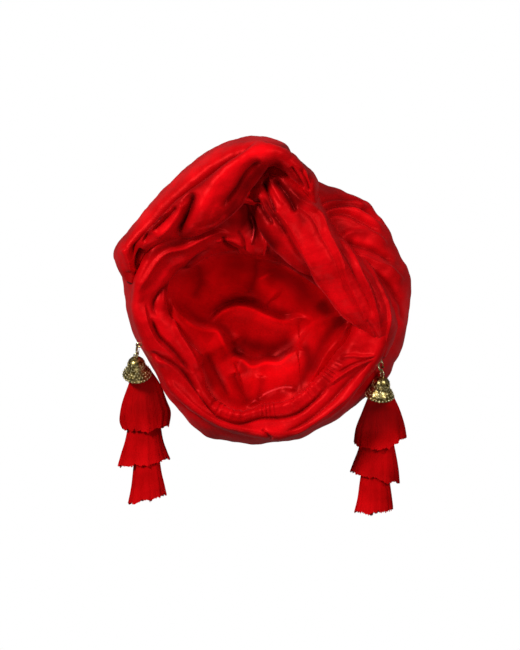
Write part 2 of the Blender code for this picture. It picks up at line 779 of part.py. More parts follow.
def cap_rings(outline):
    rings = []
    for radius, height in outline:
        ring = []
        for k in range(CAP_STEPS):
            turn = 2.0 * math.pi * k / CAP_STEPS
            ring.append(Vector((radius * math.cos(turn), radius * math.sin(turn), height)))
        rings.append(ring)
    return rings


def build_cap(side, matrix):
    """A bell cap: domed, flared at its mouth, pierced all round and hollow, with a top loop."""
    outer = [(row.radius * CAP_RADIUS, row.height * CAP_HEIGHT) for row in CAP_ROWS]
    inner = [(r - CAP_WALL, z) for r, z in outer[2:]]
    inner.insert(0, (inner[0][0] * 0.4, outer[1][1] + CAP_WALL * 1.6))
    shell = loft("cap_shell", cap_rings(outer + inner[::-1]))
    loop_centre = Vector((0.0, 0.0, -LOOP_RADIUS))
    loop = wire_ring("cap_loop", LOOP_RADIUS, EYE_WIRE, loop_centre, Vector((1, 0, 0)), Vector((0, 0, 1)))
    mesh = join_solids("cap_" + side, [shell, loop])
    cap = add_piece("cap_" + side, mesh, GOLD, matrix=matrix)
    band = 0.5 * (CAP_ROWS[3].height + CAP_ROWS[4].height) * CAP_HEIGHT
    cutters = []
    for k in range(CAP_HOLES):
        turn = 2.0 * math.pi * (k + 0.5) / CAP_HOLES
        ray = Vector((math.cos(turn), math.sin(turn), 0.0))
        path = [ray * (CAP_RADIUS * share) + Vector((0.0, 0.0, band)) for share in (0.3, 0.9)]
        cutters.append(tube("cutter", path, CAP_HOLE_RADIUS, Vector((0, 0, 1))))
    drill = bpy.data.objects.new("cap_drill_" + side, join_meshes("cap_drill_" + side, cutters))
    bpy.context.scene.collection.objects.link(drill)
    drill.matrix_world = matrix
    drill.hide_render = True
    drill.display_type = "WIRE"
    cut = cap.modifiers.new("pierced", "BOOLEAN")
    cut.operation = "DIFFERENCE"
    cut.solver = "EXACT"
    cut.object = drill
    return cap


def join_meshes(name, meshes):
    """Several separate closed meshes in one mesh, for a cutter."""
    body = bmesh.new()
    for mesh in meshes:
        body.from_mesh(mesh)
    joined = bpy.data.meshes.new(name)
    body.to_mesh(joined)
    body.free()
    return joined


def tassel_line(start, along, end):
    """The tassel's middle line: out of the cap, then down on to the floor."""
    reach_out = (end - start).length
    flat = Vector((end.x - start.x, end.y - start.y, 0.0)).normalized()
    leave = along * reach_out * 0.55
    arrive = flat * reach_out * 1.25

    def point(t):
        t2, t3 = t * t, t * t * t
        return (start * (2 * t3 - 3 * t2 + 1) + leave * (t3 - 2 * t2 + t)
                + end * (3 * t2 - 2 * t3) + arrive * (t3 - t2))

    return point


def tassel_sections():
    """The tassel's rings: place along it, width share, lift of the cut ends and flattening."""
    rows = [(0.0, TIER_ROWS[0].neck, 0.0)]
    start = 0.0
    for i, tier in enumerate(TIER_ROWS):
        middle = start + (tier.end - start) * 0.5
        if i > 0:
            rows.append((start, tier.neck, 0.0))
        rows.append((middle, tier.middle, 0.0))
        rows.append((tier.end - 0.04, tier.flare, 0.0))
        rows.append((tier.end, tier.flare * 0.97, 1.0))
        start = tier.end - 0.03
    return rows


def build_tassel(side, mouth, along, lay):
    """A silk tassel in three tiers of locks, fused to the head inside the cap."""
    half_thick = TASSEL_THICKNESS / 2
    drop = mouth.z - half_thick
    flat_reach = math.sqrt(TASSEL_LENGTH ** 2 - drop ** 2)
    end = mouth + aim(lay, 0.0) * flat_reach
    end.z = half_thick
    line = tassel_line(mouth, along, end)
    sections = []
    head_radius = CAP_ROWS[4].radius * CAP_RADIUS - CAP_WALL - 2.0 * RUN_CLEARANCE
    mouth_radius = CAP_RADIUS - CAP_WALL - 2.0 * RUN_CLEARANCE
    side_way = along.cross(Vector((0, 0, 1))).normalized()
    head_up = side_way.cross(along).normalized()
    for back, radius in ((TASSEL_HEAD, head_radius * 0.9), (TASSEL_HEAD * 0.55, head_radius)):
        centre = mouth - along * back
        sections.append(lock_ring(centre, side_way, head_up, radius, radius, 0.0, Vector()))
    for t, width, rag in tassel_sections():
        centre = line(t)
        ahead = (line(min(t + 0.01, 1.0)) - line(max(t - 0.01, 0.0))).normalized()
        level = ahead.cross(Vector((0, 0, 1))).normalized()
        upward = level.cross(ahead).normalized()
        flatness = smooth(t * 3.0)
        half_width = width * TASSEL_WIDTH / 2
        round_width = min(half_width, mouth_radius)
        wide = round_width + (half_width - round_width) * smooth(t * 5.0)
        thick = mouth_radius + (half_thick - mouth_radius) * flatness
        thick = min(thick, wide)
        centre.z = max(centre.z, thick * abs(upward.z) + LOCK_DEPTH * 0.5)
        sections.append(lock_ring(centre, level, upward, wide, thick, smooth(t * 4.0), ahead * rag))
    mesh = loft("tassel_" + side, sections)
    return add_piece("tassel_" + side, mesh, SILK)


def lock_ring(centre, level, upward, wide, thick, depth, rag):
    """One ring of locks: ridges and valleys round an oval, with ragged ends."""
    ring = []
    count = 2 * LOCKS
    for k in range(count):
        turn = 2.0 * math.pi * k / count
        valley = LOCK_DEPTH * depth * (k % 2)
        ragged = rag * (LOCK_RAG * math.sin(2.7 * k))
        ring.append(centre + level * (wide - valley) * math.cos(turn)
                    + upward * (thick - valley) * math.sin(turn) + ragged)
    return ring


def build_hanging(row):
    """A ring sewn at the rim, its clasp and lever, a link, and the tassel in its cap."""
    point, outward = side_point(row.angle, row.rise)
    along = aim(row.chain_heading, row.chain_fall)
    up = (outward - along * along.dot(outward)).normalized()
    across = along.cross(up)
    ring_centre = point + outward * (RING_RADIUS + RING_WIRE / 2 + SEAM_GAP)
    slip = CLASP_WIDTH * 0.18
    dip = CLASP_LENGTH / 2 * (1.0 - math.sqrt(1.0 - (2.0 * slip / CLASP_WIDTH) ** 2))
    ring = wire_ring("ring_" + row.side, RING_RADIUS, RING_WIRE, Vector(), along, up)
    add_piece("ring_" + row.side, ring, GOLD,
              matrix=Matrix.Translation(ring_centre + across * slip))
    half_ring = RING_WIRE / 2
    clasp_top = RING_RADIUS - half_ring - CLASP_WIRE / 2 - dip - 2.0 * RUN_CLEARANCE
    clasp_matrix = frame_matrix(ring_centre + along * clasp_top, along, up)
    build_clasp(row.side, clasp_matrix)
    build_lever(row.side, clasp_matrix)
    eye_place = clasp_top + CLASP_LENGTH + EYE_RADIUS
    link_top = eye_place + EYE_RADIUS - EYE_WIRE / 2 - half_ring - RUN_CLEARANCE
    link_centre = ring_centre + along * (link_top + LINK_RADIUS)
    link = wire_ring("link_" + row.side, LINK_RADIUS, RING_WIRE, Vector(), along, up)
    add_piece("link_" + row.side, link, GOLD, matrix=Matrix.Translation(link_centre))
    link_low = link_top + 2.0 * LINK_RADIUS
    loop_top = link_low - half_ring - EYE_WIRE / 2 - RUN_CLEARANCE
    cap_along = aim(row.cap_heading, row.cap_fall)
    loop_centre = ring_centre + along * loop_top + cap_along * LOOP_RADIUS
    cap_top = loop_centre + cap_along * LOOP_RADIUS
    cap_up = (up - cap_along * cap_along.dot(up)).normalized()
    cap_across = cap_along.cross(cap_up)
    cap_turn = Matrix((cap_across, cap_up, cap_along)).transposed().to_4x4()
    if cap_turn.determinant() < 0.0:
        cap_turn = Matrix((-cap_across, cap_up, cap_along)).transposed().to_4x4()
    build_cap(row.side, Matrix.Translation(cap_top) @ cap_turn)
    mouth = cap_top + cap_along * CAP_HEIGHT
    build_tassel(row.side, mouth, cap_along, row.lay)


def main():
    clear_scene()
    build_crown()
    build_lining()
    build_band()
    build_wrap("right_wrap", RIGHT_ROWS, 1.0, False)
    build_wrap("left_wrap", LEFT_ROWS, 0.3, True)
    for row in HANG_ROWS:
        build_hanging(row)


if __name__ == "__main__":
    main()
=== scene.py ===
"""Looks of a red velvet turban that lies on its crown with the opening up.

The soft pieces are laid out in the plan of a camera that looks straight down: outlines and
folds are given on a picture plane, and each piece adds its heights. The metal fittings repeat
the places of the part's solids, in metres.
"""

import logging
import math
from dataclasses import dataclass
from enum import Enum

import bmesh
import bpy
import numpy as np
from mathutils import Matrix, Vector


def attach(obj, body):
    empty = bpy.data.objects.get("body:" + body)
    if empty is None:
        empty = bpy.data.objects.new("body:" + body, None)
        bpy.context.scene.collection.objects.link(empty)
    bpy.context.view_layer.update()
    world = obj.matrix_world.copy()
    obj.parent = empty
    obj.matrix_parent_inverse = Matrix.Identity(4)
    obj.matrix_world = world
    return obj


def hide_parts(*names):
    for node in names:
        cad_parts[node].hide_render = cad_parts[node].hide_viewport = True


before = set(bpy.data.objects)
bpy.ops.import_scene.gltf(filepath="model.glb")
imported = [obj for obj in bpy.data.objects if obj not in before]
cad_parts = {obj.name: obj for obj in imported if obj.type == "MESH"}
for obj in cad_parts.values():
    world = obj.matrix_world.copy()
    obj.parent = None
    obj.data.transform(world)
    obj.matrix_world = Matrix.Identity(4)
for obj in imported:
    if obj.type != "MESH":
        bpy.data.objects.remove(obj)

LOG = logging.getLogger("turban")

# The camera looks straight down from EYE_HEIGHT. One step of the picture plane is PIXEL metres
# at PIXEL_DEPTH below it, CENTRE is the plane's middle, and MIDDLE is where the opening's angles
# are measured from.
EYE_HEIGHT = 2.4
EYE_X = -0.0018
PIXEL = 0.0009
PIXEL_DEPTH = 2.33
CENTRE = (260.0, 325.0)
WIDE = 520
MIDDLE = (262.0, 325.0)
MM = 0.001

# A fold fades in and out over FADE_SHARE of its line. A lip's steep side spreads over LIP_SHARE
# of its width, up to LIP_MOST millimetres. The rest set where shade is painted into creases and highlights
# on lip crests.
FADE_SHARE = 0.2
FADE_START = 0.06
LIP_SHARE = 0.36
LIP_MOST = 3.0
CREST_START = 0.80
DEEP_CREASE = 5.0
NEAR_CREASE = -0.35

Line = tuple[tuple[float, float], ...]


class Shape(Enum):
    """The cross section of a fold. TONE has none: it only paints shade and light into the cloth's colour."""

    RIDGE = "ridge"
    CREASE = "crease"
    LEFT_LIP = "left_lip"
    RIGHT_LIP = "right_lip"
    TONE = "tone"


class Slot(Enum):
    """The record's material slots."""

    VELVET = "velvet"
    SILK = "silk"
    GOLD = "gold"


def to_world(px: np.ndarray, py: np.ndarray, z: np.ndarray) -> np.ndarray:
    """Turn picture positions at known heights into points.

    Args:
        px: Positions across the picture plane.
        py: Positions down the picture plane.
        z: Heights in metres.

    Returns:
        Points in metres, with the coordinates on the last axis.
    """
    scale = PIXEL * (EYE_HEIGHT - z) / PIXEL_DEPTH
    return np.stack([EYE_X + (px - CENTRE[0]) * scale, (CENTRE[1] - py) * scale, z], axis=-1)


def to_picture(points: np.ndarray) -> tuple[np.ndarray, np.ndarray]:
    """Find where points stand on the picture plane.

    Args:
        points: Points in metres, with the coordinates on the last axis.

    Returns:
        The positions across and down the picture plane.
    """
    scale = PIXEL * (EYE_HEIGHT - points[..., 2]) / PIXEL_DEPTH
    return CENTRE[0] + (points[..., 0] - EYE_X) / scale, CENTRE[1] - points[..., 1] / scale


def smoothstep(value: np.ndarray) -> np.ndarray:
    """Return a smooth rise from 0 to 1."""
    value = np.clip(value, 0.0, 1.0)
    return value * value * (3.0 - 2.0 * value)


def spline(rows: np.ndarray, count: int, closed: bool = False) -> np.ndarray:
    """Run a smooth curve through rows of values.

    Args:
        rows: One row of values for each point of the curve.
        count: How many samples to take.
        closed: True for a curve that comes back to its start.

    Returns:
        The sampled rows.
    """
    rows = np.asarray(rows, float)
    size = len(rows)
    spans = size if closed else size - 1
    place = np.linspace(0.0, spans, count, endpoint=not closed)
    index = np.minimum(place.astype(int), spans - 1)
    t = (place - index)[:, None]
    picks = []
    for shift in (-1, 0, 1, 2):
        near = index + shift
        picks.append(rows[near % size if closed else np.clip(near, 0, size - 1)])
    p0, p1, p2, p3 = picks
    return 0.5 * (2 * p1 + (p2 - p0) * t + (2 * p0 - 5 * p1 + 4 * p2 - p3) * t**2
                  + (3 * p1 - p0 - 3 * p2 + p3) * t**3)


@dataclass(frozen=True)
class Fold:
    """A fold in cloth along a line of the picture plane.

    Attributes:
        line: The fold's course.
        height: How high it stands, in millimetres. For TONE, the painted light and shade, from -1, dark, to
            1, bright.
        width: How far it spreads, in millimetres.
        shape: Its cross section.
    """

    line: Line
    height: float
    width: float
    shape: Shape = Shape.RIDGE

    def lift(self, px: np.ndarray, py: np.ndarray) -> np.ndarray:
        """Work out the fold's height.

        Args:
            px: Positions across the picture plane.
            py: Positions down the picture plane.

        Returns:
            Heights in millimetres, or for TONE the painted light and shade.
        """
        course = spline(np.array(self.line), 6 * len(self.line))
        best = np.full(px.shape, 1e9)
        side = np.zeros(px.shape)
        share = np.zeros(px.shape)
        last = len(course) - 1
        for i in range(last):
            (ax, ay), (bx, by) = course[i], course[i + 1]
            dx, dy = bx - ax, by - ay
            span = max(dx * dx + dy * dy, 1e-9)
            t = np.clip(((px - ax) * dx + (py - ay) * dy) / span, 0.0, 1.0)
            gx, gy = px - ax - t * dx, py - ay - t * dy
            gap = gx * gx + gy * gy
            near = gap < best
            best = np.where(near, gap, best)
            side = np.where(near, dx * gy - dy * gx, side)
            share = np.where(near, (i + t) / last, share)
        away = np.sqrt(best) * PIXEL / MM
        fade = smoothstep(np.minimum(share, 1.0 - share) / FADE_SHARE + FADE_START)
        if self.shape in (Shape.RIDGE, Shape.TONE):
            form = np.exp(-((away / self.width) ** 2))
        elif self.shape is Shape.CREASE:
            form = -np.exp(-((away / self.width) ** 1.3))
        else:
            facing = side if self.shape is Shape.RIGHT_LIP else -side
            form = np.where(facing > 0.0, np.exp(-((away / self.width) ** 1.5)),
                            np.exp(-((away / min(LIP_SHARE * self.width, LIP_MOST)) ** 2)))
        return self.height * fade * form


def wander(points: np.ndarray, size: float, seed: float) -> np.ndarray:
    """Make slow uneven waves over points.

    Args:
        points: Points in metres.
        size: The waves' length in metres.
        seed: A number that sets the pattern.

    Returns:
        Values from about -1 to 1.
    """
    total = np.zeros(points.shape[:-1])
    for k in range(1, 6):
        turn = seed * 1.7 + 2.4 * k
        way = np.array([math.cos(turn), math.sin(turn), 0.6 * math.sin(3.1 * turn)])
        rate = 2.0 * math.pi / size * (0.6 + 0.35 * k)
        total += np.sin(points @ way * rate + seed * 5.3 * k) / (0.7 + 0.5 * k)
    return total / 2.2


def grid_normals(points: np.ndarray, around: bool, across: bool) -> np.ndarray:
    """Find the normals of a grid of points.

    Args:
        points: A grid of points.
        around: True where the first axis closes on itself.
        across: True where the second axis closes on itself.

    Returns:
        Unit normals on the side that the grid's winding faces.
    """
    def slope(axis: int, closed: bool) -> np.ndarray:
        """Return central differences along one axis."""
        if closed:
            return np.roll(points, -1, axis) - np.roll(points, 1, axis)
        return np.gradient(points, axis=axis)

    normal = np.cross(slope(0, around), slope(1, across))
    length = np.linalg.norm(normal, axis=-1, keepdims=True)
    return normal / np.maximum(length, 1e-12)


def grid_object(name: str, points: np.ndarray, around: bool, across: bool,
                marks: dict[str, np.ndarray] | None = None) -> bpy.types.Object:
    """Make an object from a grid of points.

    Args:
        name: The object's name.
        points: A grid of points in metres.
        around: True where the first axis closes on itself.
        across: True where the second axis closes on itself.
        marks: Attributes by name, with one value for each point.

    Returns:
        The object, smooth shaded, at the origin.
    """
    marks = marks or {}
    points = np.concatenate([points] + [value[..., None] for value in marks.values()], axis=2)
    if around:
        points = np.concatenate([points, points[:1]], axis=0)
    if across:
        points = np.concatenate([points, points[:, :1]], axis=1)
    rows, columns = points.shape[:2]
    body = bmesh.new()
    bmesh.ops.create_grid(body, x_segments=columns - 1, y_segments=rows - 1, size=1.0)
    body.verts.ensure_lookup_table()
    layers = [body.verts.layers.float.new(title) for title in marks]
    for vert, spot in zip(body.verts, points.reshape(rows * columns, -1).tolist()):
        vert.co = spot[:3]
        for layer, value in zip(layers, spot[3:]):
            vert[layer] = value
    if around or across:
        bmesh.ops.remove_doubles(body, verts=body.verts[:], dist=1e-7)
    bmesh.ops.recalc_face_normals(body, faces=body.faces[:])
    for face in body.faces:
        face.smooth = True
    return body_object(name, body)


def body_object(name: str, body: bmesh.types.BMesh) -> bpy.types.Object:
    """Put a finished bmesh into the scene.

    Args:
        name: The object's name.
        body: The bmesh, which is freed.

    Returns:
        The new object.
    """
    mesh = bpy.data.meshes.new(name)
    body.to_mesh(mesh)
    body.free()
    piece = bpy.data.objects.new(name, mesh)
    bpy.context.scene.collection.objects.link(piece)
    return piece


@dataclass(frozen=True)
class Cloth:
    """A pile or satin cloth finish.

    Attributes:
        name: The material's name.
        light: The colour of the nap's tips.
        dark: The colour deep in the nap.
        roughness: How dull it is.
        sheen: The weight of its fuzz.
        specular: How strong its highlights are.
        grain: The nap's grain, in grains to a metre.
    """

    name: str
    light: tuple[float, float, float]
    dark: tuple[float, float, float]
    roughness: float
    sheen: float
    specular: float
    grain: float

    def material(self, nap: bpy.types.NodeTree) -> bpy.types.Material:
        """Build the material.

        Args:
            nap: The shared nap group.

        Returns:
            The material.
        """
        made = bpy.data.materials.new(self.name)
        made.use_nodes = True
        tree = made.node_tree
        shader = tree.nodes["Principled BSDF"]
        group = tree.nodes.new("ShaderNodeGroup")
        group.node_tree = nap
        group.inputs["Light"].default_value = (*self.light, 1.0)
        group.inputs["Dark"].default_value = (*self.dark, 1.0)
        group.inputs["Grain"].default_value = self.grain
        bump = tree.nodes.new("ShaderNodeBump")
        bump.inputs["Strength"].default_value = 0.25
        bump.inputs["Distance"].default_value = 0.0006
        tree.links.new(group.outputs["Color"], shader.inputs["Base Color"])
        tree.links.new(group.outputs["Height"], bump.inputs["Height"])
        tree.links.new(bump.outputs["Normal"], shader.inputs["Normal"])
        shader.inputs["Roughness"].default_value = self.roughness
        shader.inputs["Sheen Weight"].default_value = self.sheen
        shader.inputs["Sheen Roughness"].default_value = 0.35
        shader.inputs["Sheen Tint"].default_value = (1.0, 0.05, 0.06, 1.0)
        shader.inputs["Specular IOR Level"].default_value = self.specular
        shader.inputs["Specular Tint"].default_value = (1.0, 0.03, 0.03, 1.0)
        return made


def nap_group() -> bpy.types.NodeTree:
    """Build the node group for a cloth's nap: fine grain over slow, uneven patches, with painted shade in
    creases, painted highlights on crests and painted light and shade strokes.

    Returns:
        The node group.
    """
    tree = bpy.data.node_groups.new("nap", "ShaderNodeTree")
    face = tree.interface
    face.new_socket("Light", in_out="INPUT", socket_type="NodeSocketColor")
    face.new_socket("Dark", in_out="INPUT", socket_type="NodeSocketColor")
    face.new_socket("Grain", in_out="INPUT", socket_type="NodeSocketFloat")
    face.new_socket("Color", in_out="OUTPUT", socket_type="NodeSocketColor")
    face.new_socket("Height", in_out="OUTPUT", socket_type="NodeSocketFloat")
    enter = tree.nodes.new("NodeGroupInput")
    leave = tree.nodes.new("NodeGroupOutput")
    place = tree.nodes.new("ShaderNodeTexCoord")
    fine = tree.nodes.new("ShaderNodeTexNoise")
    fine.inputs["Detail"].default_value = 2.0
    slow = tree.nodes.new("ShaderNodeTexNoise")
    slow.inputs["Scale"].default_value = 38.0
    slow.inputs["Detail"].default_value = 3.0
    blend = tree.nodes.new("ShaderNodeMath")
    blend.operation = "MULTIPLY_ADD"
    blend.inputs[1].default_value = 0.35
    ramp = tree.nodes.new("ShaderNodeMapRange")
    ramp.inputs["From Min"].default_value = 0.42
    ramp.inputs["From Max"].default_value = 0.85
    mix = tree.nodes.new("ShaderNodeMix")
    mix.data_type = "RGBA"
    link = tree.links.new
    link(place.outputs["Object"], fine.inputs["Vector"])
    link(place.outputs["Object"], slow.inputs["Vector"])
    link(enter.outputs["Grain"], fine.inputs["Scale"])
    link(fine.outputs["Fac"], blend.inputs[0])
    link(slow.outputs["Fac"], blend.inputs[2])
    link(blend.outputs[0], ramp.inputs["Value"])
    link(ramp.outputs["Result"], mix.inputs["Factor"])
    link(enter.outputs["Dark"], mix.inputs["A"])
    link(enter.outputs["Light"], mix.inputs["B"])
    # Painted shade and highlights: the "fold" attribute darkens the colour in creases down to 0.30 and mixes
    # a pink painted highlight onto crests.
    fold = tree.nodes.new("ShaderNodeAttribute")
    fold.attribute_name = "fold"
    deep = tree.nodes.new("ShaderNodeMapRange")
    deep.inputs["From Min"].default_value = -1.0
    deep.inputs["From Max"].default_value = -0.10
    deep.inputs["To Min"].default_value = 0.30
    crest = tree.nodes.new("ShaderNodeMapRange")
    crest.inputs["From Min"].default_value = 0.15
    crest.inputs["To Max"].default_value = 0.75
    glint = tree.nodes.new("ShaderNodeMath")
    glint.operation = "MULTIPLY"
    shade = tree.nodes.new("ShaderNodeMix")
    shade.data_type = "RGBA"
    shade.blend_type = "MULTIPLY"
    shade.inputs["Factor"].default_value = 1.0
    painted_crest_highlight = tree.nodes.new("ShaderNodeMix")
    painted_crest_highlight.data_type = "RGBA"
    painted_crest_highlight.inputs["B"].default_value = (0.95, 0.045, 0.055, 1.0)
    link(fold.outputs["Fac"], deep.inputs["Value"])
    link(fold.outputs["Fac"], crest.inputs["Value"])
    link(crest.outputs["Result"], glint.inputs[0])
    link(ramp.outputs["Result"], glint.inputs[1])
    # Painted light and shade: the strokes' "tone" attribute scales the colour from 0.25 to 1.75.
    painted_strokes = tree.nodes.new("ShaderNodeAttribute")
    painted_strokes.attribute_name = "tone"
    span = tree.nodes.new("ShaderNodeMapRange")
    span.inputs["From Min"].default_value = -1.0
    span.inputs["To Min"].default_value = 0.25
    span.inputs["To Max"].default_value = 1.75
    both = tree.nodes.new("ShaderNodeMath")
    both.operation = "MULTIPLY"
    link(painted_strokes.outputs["Fac"], span.inputs["Value"])
    link(deep.outputs["Result"], both.inputs[0])
    link(span.outputs["Result"], both.inputs[1])
    link(mix.outputs["Result"], shade.inputs["A"])
    link(both.outputs[0], shade.inputs["B"])
    link(glint.outputs[0], painted_crest_highlight.inputs["Factor"])
    link(shade.outputs["Result"], painted_crest_highlight.inputs["A"])
    link(painted_crest_highlight.outputs["Result"], leave.inputs["Color"])
    link(fine.outputs["Fac"], leave.inputs["Height"])
    return tree


@dataclass(frozen=True)
class Metal:
    """An antique gilt finish: worn bright and tarnished dark in fine patches.

    Attributes:
        name: The material's name.
        bright: The colour of worn places.
        dark: The colour of tarnish.
        roughness: How dull it is.
    """

    name: str
    bright: tuple[float, float, float]
    dark: tuple[float, float, float]
    roughness: float

    def material(self) -> bpy.types.Material:
        """Build the material.

        Returns:
            The material.
        """
        made = bpy.data.materials.new(self.name)
        made.use_nodes = True
        tree = made.node_tree
        shader = tree.nodes["Principled BSDF"]
        place = tree.nodes.new("ShaderNodeTexCoord")
        noise = tree.nodes.new("ShaderNodeTexNoise")
        noise.inputs["Scale"].default_value = 420.0
        noise.inputs["Detail"].default_value = 4.0
        span = tree.nodes.new("ShaderNodeMapRange")
        span.inputs["From Min"].default_value = 0.40
        span.inputs["From Max"].default_value = 0.62
        mix = tree.nodes.new("ShaderNodeMix")
        mix.data_type = "RGBA"
        mix.inputs["A"].default_value = (*self.dark, 1.0)
        mix.inputs["B"].default_value = (*self.bright, 1.0)
        link = tree.links.new
        link(place.outputs["Object"], noise.inputs["Vector"])
        link(noise.outputs["Fac"], span.inputs["Value"])
        link(span.outputs["Result"], mix.inputs["Factor"])
        link(mix.outputs["Result"], shader.inputs["Base Color"])
        shader.inputs["Metallic"].default_value = 1.0
        shader.inputs["Roughness"].default_value = self.roughness
        return made


VELVET = Cloth("velvet", (0.62, 0.0015, 0.004), (0.34, 0.0006, 0.0015), 0.42, 0.22, 0.60, 900.0)
LINING = Cloth("lining", (0.60, 0.001, 0.003), (0.34, 0.0005, 0.001), 0.40, 0.12, 0.45, 700.0)
SILK = Cloth("silk", (0.58, 0.0015, 0.003), (0.30, 0.0005, 0.001), 0.50, 0.12, 0.40, 1600.0)
GILT = Metal("gilt", (0.98, 0.90, 0.56), (0.50, 0.38, 0.13), 0.28)
TARNISH = Metal("tarnish", (0.60, 0.49, 0.20), (0.12, 0.08, 0.02), 0.36)


class Station:
    """Columns of a wound wrap's table."""

    OUTER_X, OUTER_Y, INNER_X, INNER_Y, TOP, OUTER_SIDE, INNER_SIDE, LOW = range(8)


LEFT_STATIONS = (
    (124, 280, 134, 284, 66, 58, 60, 52),
    (116, 265, 143, 267, 76, 50, 62, 38),
    (115, 248, 152, 252, 86, 46, 64, 30),
    (132, 226, 168, 243, 94, 44, 66, 24),
    (155, 198, 198, 237, 102, 42, 70, 20),
    (179, 174, 226, 222, 108, 42, 74, 18),
    (206, 152, 242, 206, 111, 44, 76, 18),
    (230, 141, 250, 190, 113, 46, 78, 18),
    (254, 136, 260, 176, 113, 50, 80, 20),
    (280, 141, 272, 165, 111, 56, 80, 26),
    (296, 151, 284, 172, 108, 60, 80, 34),
    (309, 165, 296, 184, 103, 62, 78, 42),
    (318, 181, 303, 193, 97, 64, 74, 50),
    (318, 202, 312, 206, 88, 68, 72, 60),
)
RIGHT_STATIONS = (
    (266, 156, 247, 186, 78, 62, 68, 56),
    (288, 160, 248, 198, 88, 60, 70, 52),
    (310, 178, 257, 222, 95, 60, 68, 48),
    (324, 208, 270, 243, 99, 60, 66, 46),
    (337, 229, 288, 260, 98, 58, 64, 44),
    (352, 250, 306, 274, 96, 56, 62, 42),
    (368, 264, 322, 288, 93, 52, 60, 40),
    (383, 284, 336, 307, 89, 50, 58, 40),
    (393, 306, 351, 322, 85, 50, 57, 40),
    (398, 326, 365, 333, 80, 50, 56, 42),
    (393, 343, 375, 347, 74, 52, 57, 46),
    (386, 357, 381, 357, 67, 58, 60, 54),
)

# In these tables the TONE entries have no relief: they are strokes of painted shade, below 0, and painted
# light, above 0.
LEFT_FOLDS = (
    Fold(((258, 142), (226, 159), (192, 183), (167, 203), (146, 224), (134, 243), (133, 262)),
         11.0, 2.6, Shape.CREASE),
    Fold(((254, 147), (232, 157), (206, 173), (182, 192), (162, 208), (148, 222)), 3.0, 3.0, Shape.LEFT_LIP),
    Fold(((292, 156), (262, 152), (236, 164), (216, 184), (203, 205), (194, 226)), 6.0, 8.0),
    Fold(((248, 158), (224, 174), (214, 196), (204, 226)), 2.0, 7.0),
    Fold(((193, 192), (190, 206), (184, 220), (177, 239)), 8.5, 3.4, Shape.CREASE),
    Fold(((182, 202), (180, 212), (170, 226), (156, 238)), 3.2, 2.6),
    Fold(((176, 206), (168, 216), (152, 232)), 4.0, 1.8, Shape.CREASE),
    Fold(((170, 209), (158, 221), (146, 236)), 2.2, 1.6),
    Fold(((162, 216), (150, 228), (143, 244)), 4.0, 1.6, Shape.CREASE),
    Fold(((262, 160), (248, 172), (238, 190), (222, 210)), 6.0, 4.6, Shape.CREASE),
    Fold(((270, 160), (260, 176), (247, 191), (236, 208), (214, 224), (196, 232)), 2.0, 1.6),
    Fold(((304, 190), (298, 178), (291, 166)), 3.0, 1.5, Shape.CREASE),
    Fold(((310, 192), (307, 180), (301, 168)), 3.0, 1.5, Shape.CREASE),
    Fold(((312, 186), (309, 168), (296, 151), (276, 144), (262, 143)), 4.0, 1.8, Shape.CREASE),
    Fold(((144, 250), (139, 258), (137, 270)), 10.0, 2.4, Shape.CREASE),
    Fold(((124, 248), (128, 258), (131, 272)), 3.0, 3.4),
    Fold(((258, 146), (228, 163), (195, 188), (172, 208), (150, 228), (138, 246)), -0.55, 3.4, Shape.TONE),
    Fold(((284, 146), (256, 158), (232, 176), (214, 198), (202, 222), (192, 234)), 0.75, 8.0, Shape.TONE),
    Fold(((268, 165), (256, 176), (244, 192), (234, 207), (224, 218)), -0.75, 4.2, Shape.TONE),
    Fold(((240, 204), (220, 222), (200, 231), (180, 240), (160, 246)), -0.25, 3.0, Shape.TONE),
    Fold(((194, 190), (192, 206), (186, 222), (180, 238)), -0.60, 3.4, Shape.TONE),
    Fold(((168, 212), (156, 226), (146, 242)), -0.25, 5.0, Shape.TONE),
    Fold(((130, 228), (150, 204), (176, 180), (206, 158), (240, 142)), 0.55, 6.0, Shape.TONE),
    Fold(((286, 142), (300, 156), (309, 174), (312, 196)), 0.30, 4.0, Shape.TONE),
    Fold(((170, 222), (162, 234), (150, 246)), 0.35, 4.0, Shape.TONE),
    Fold(((272, 164), (288, 170), (300, 188)), -0.45, 4.0, Shape.TONE),
)
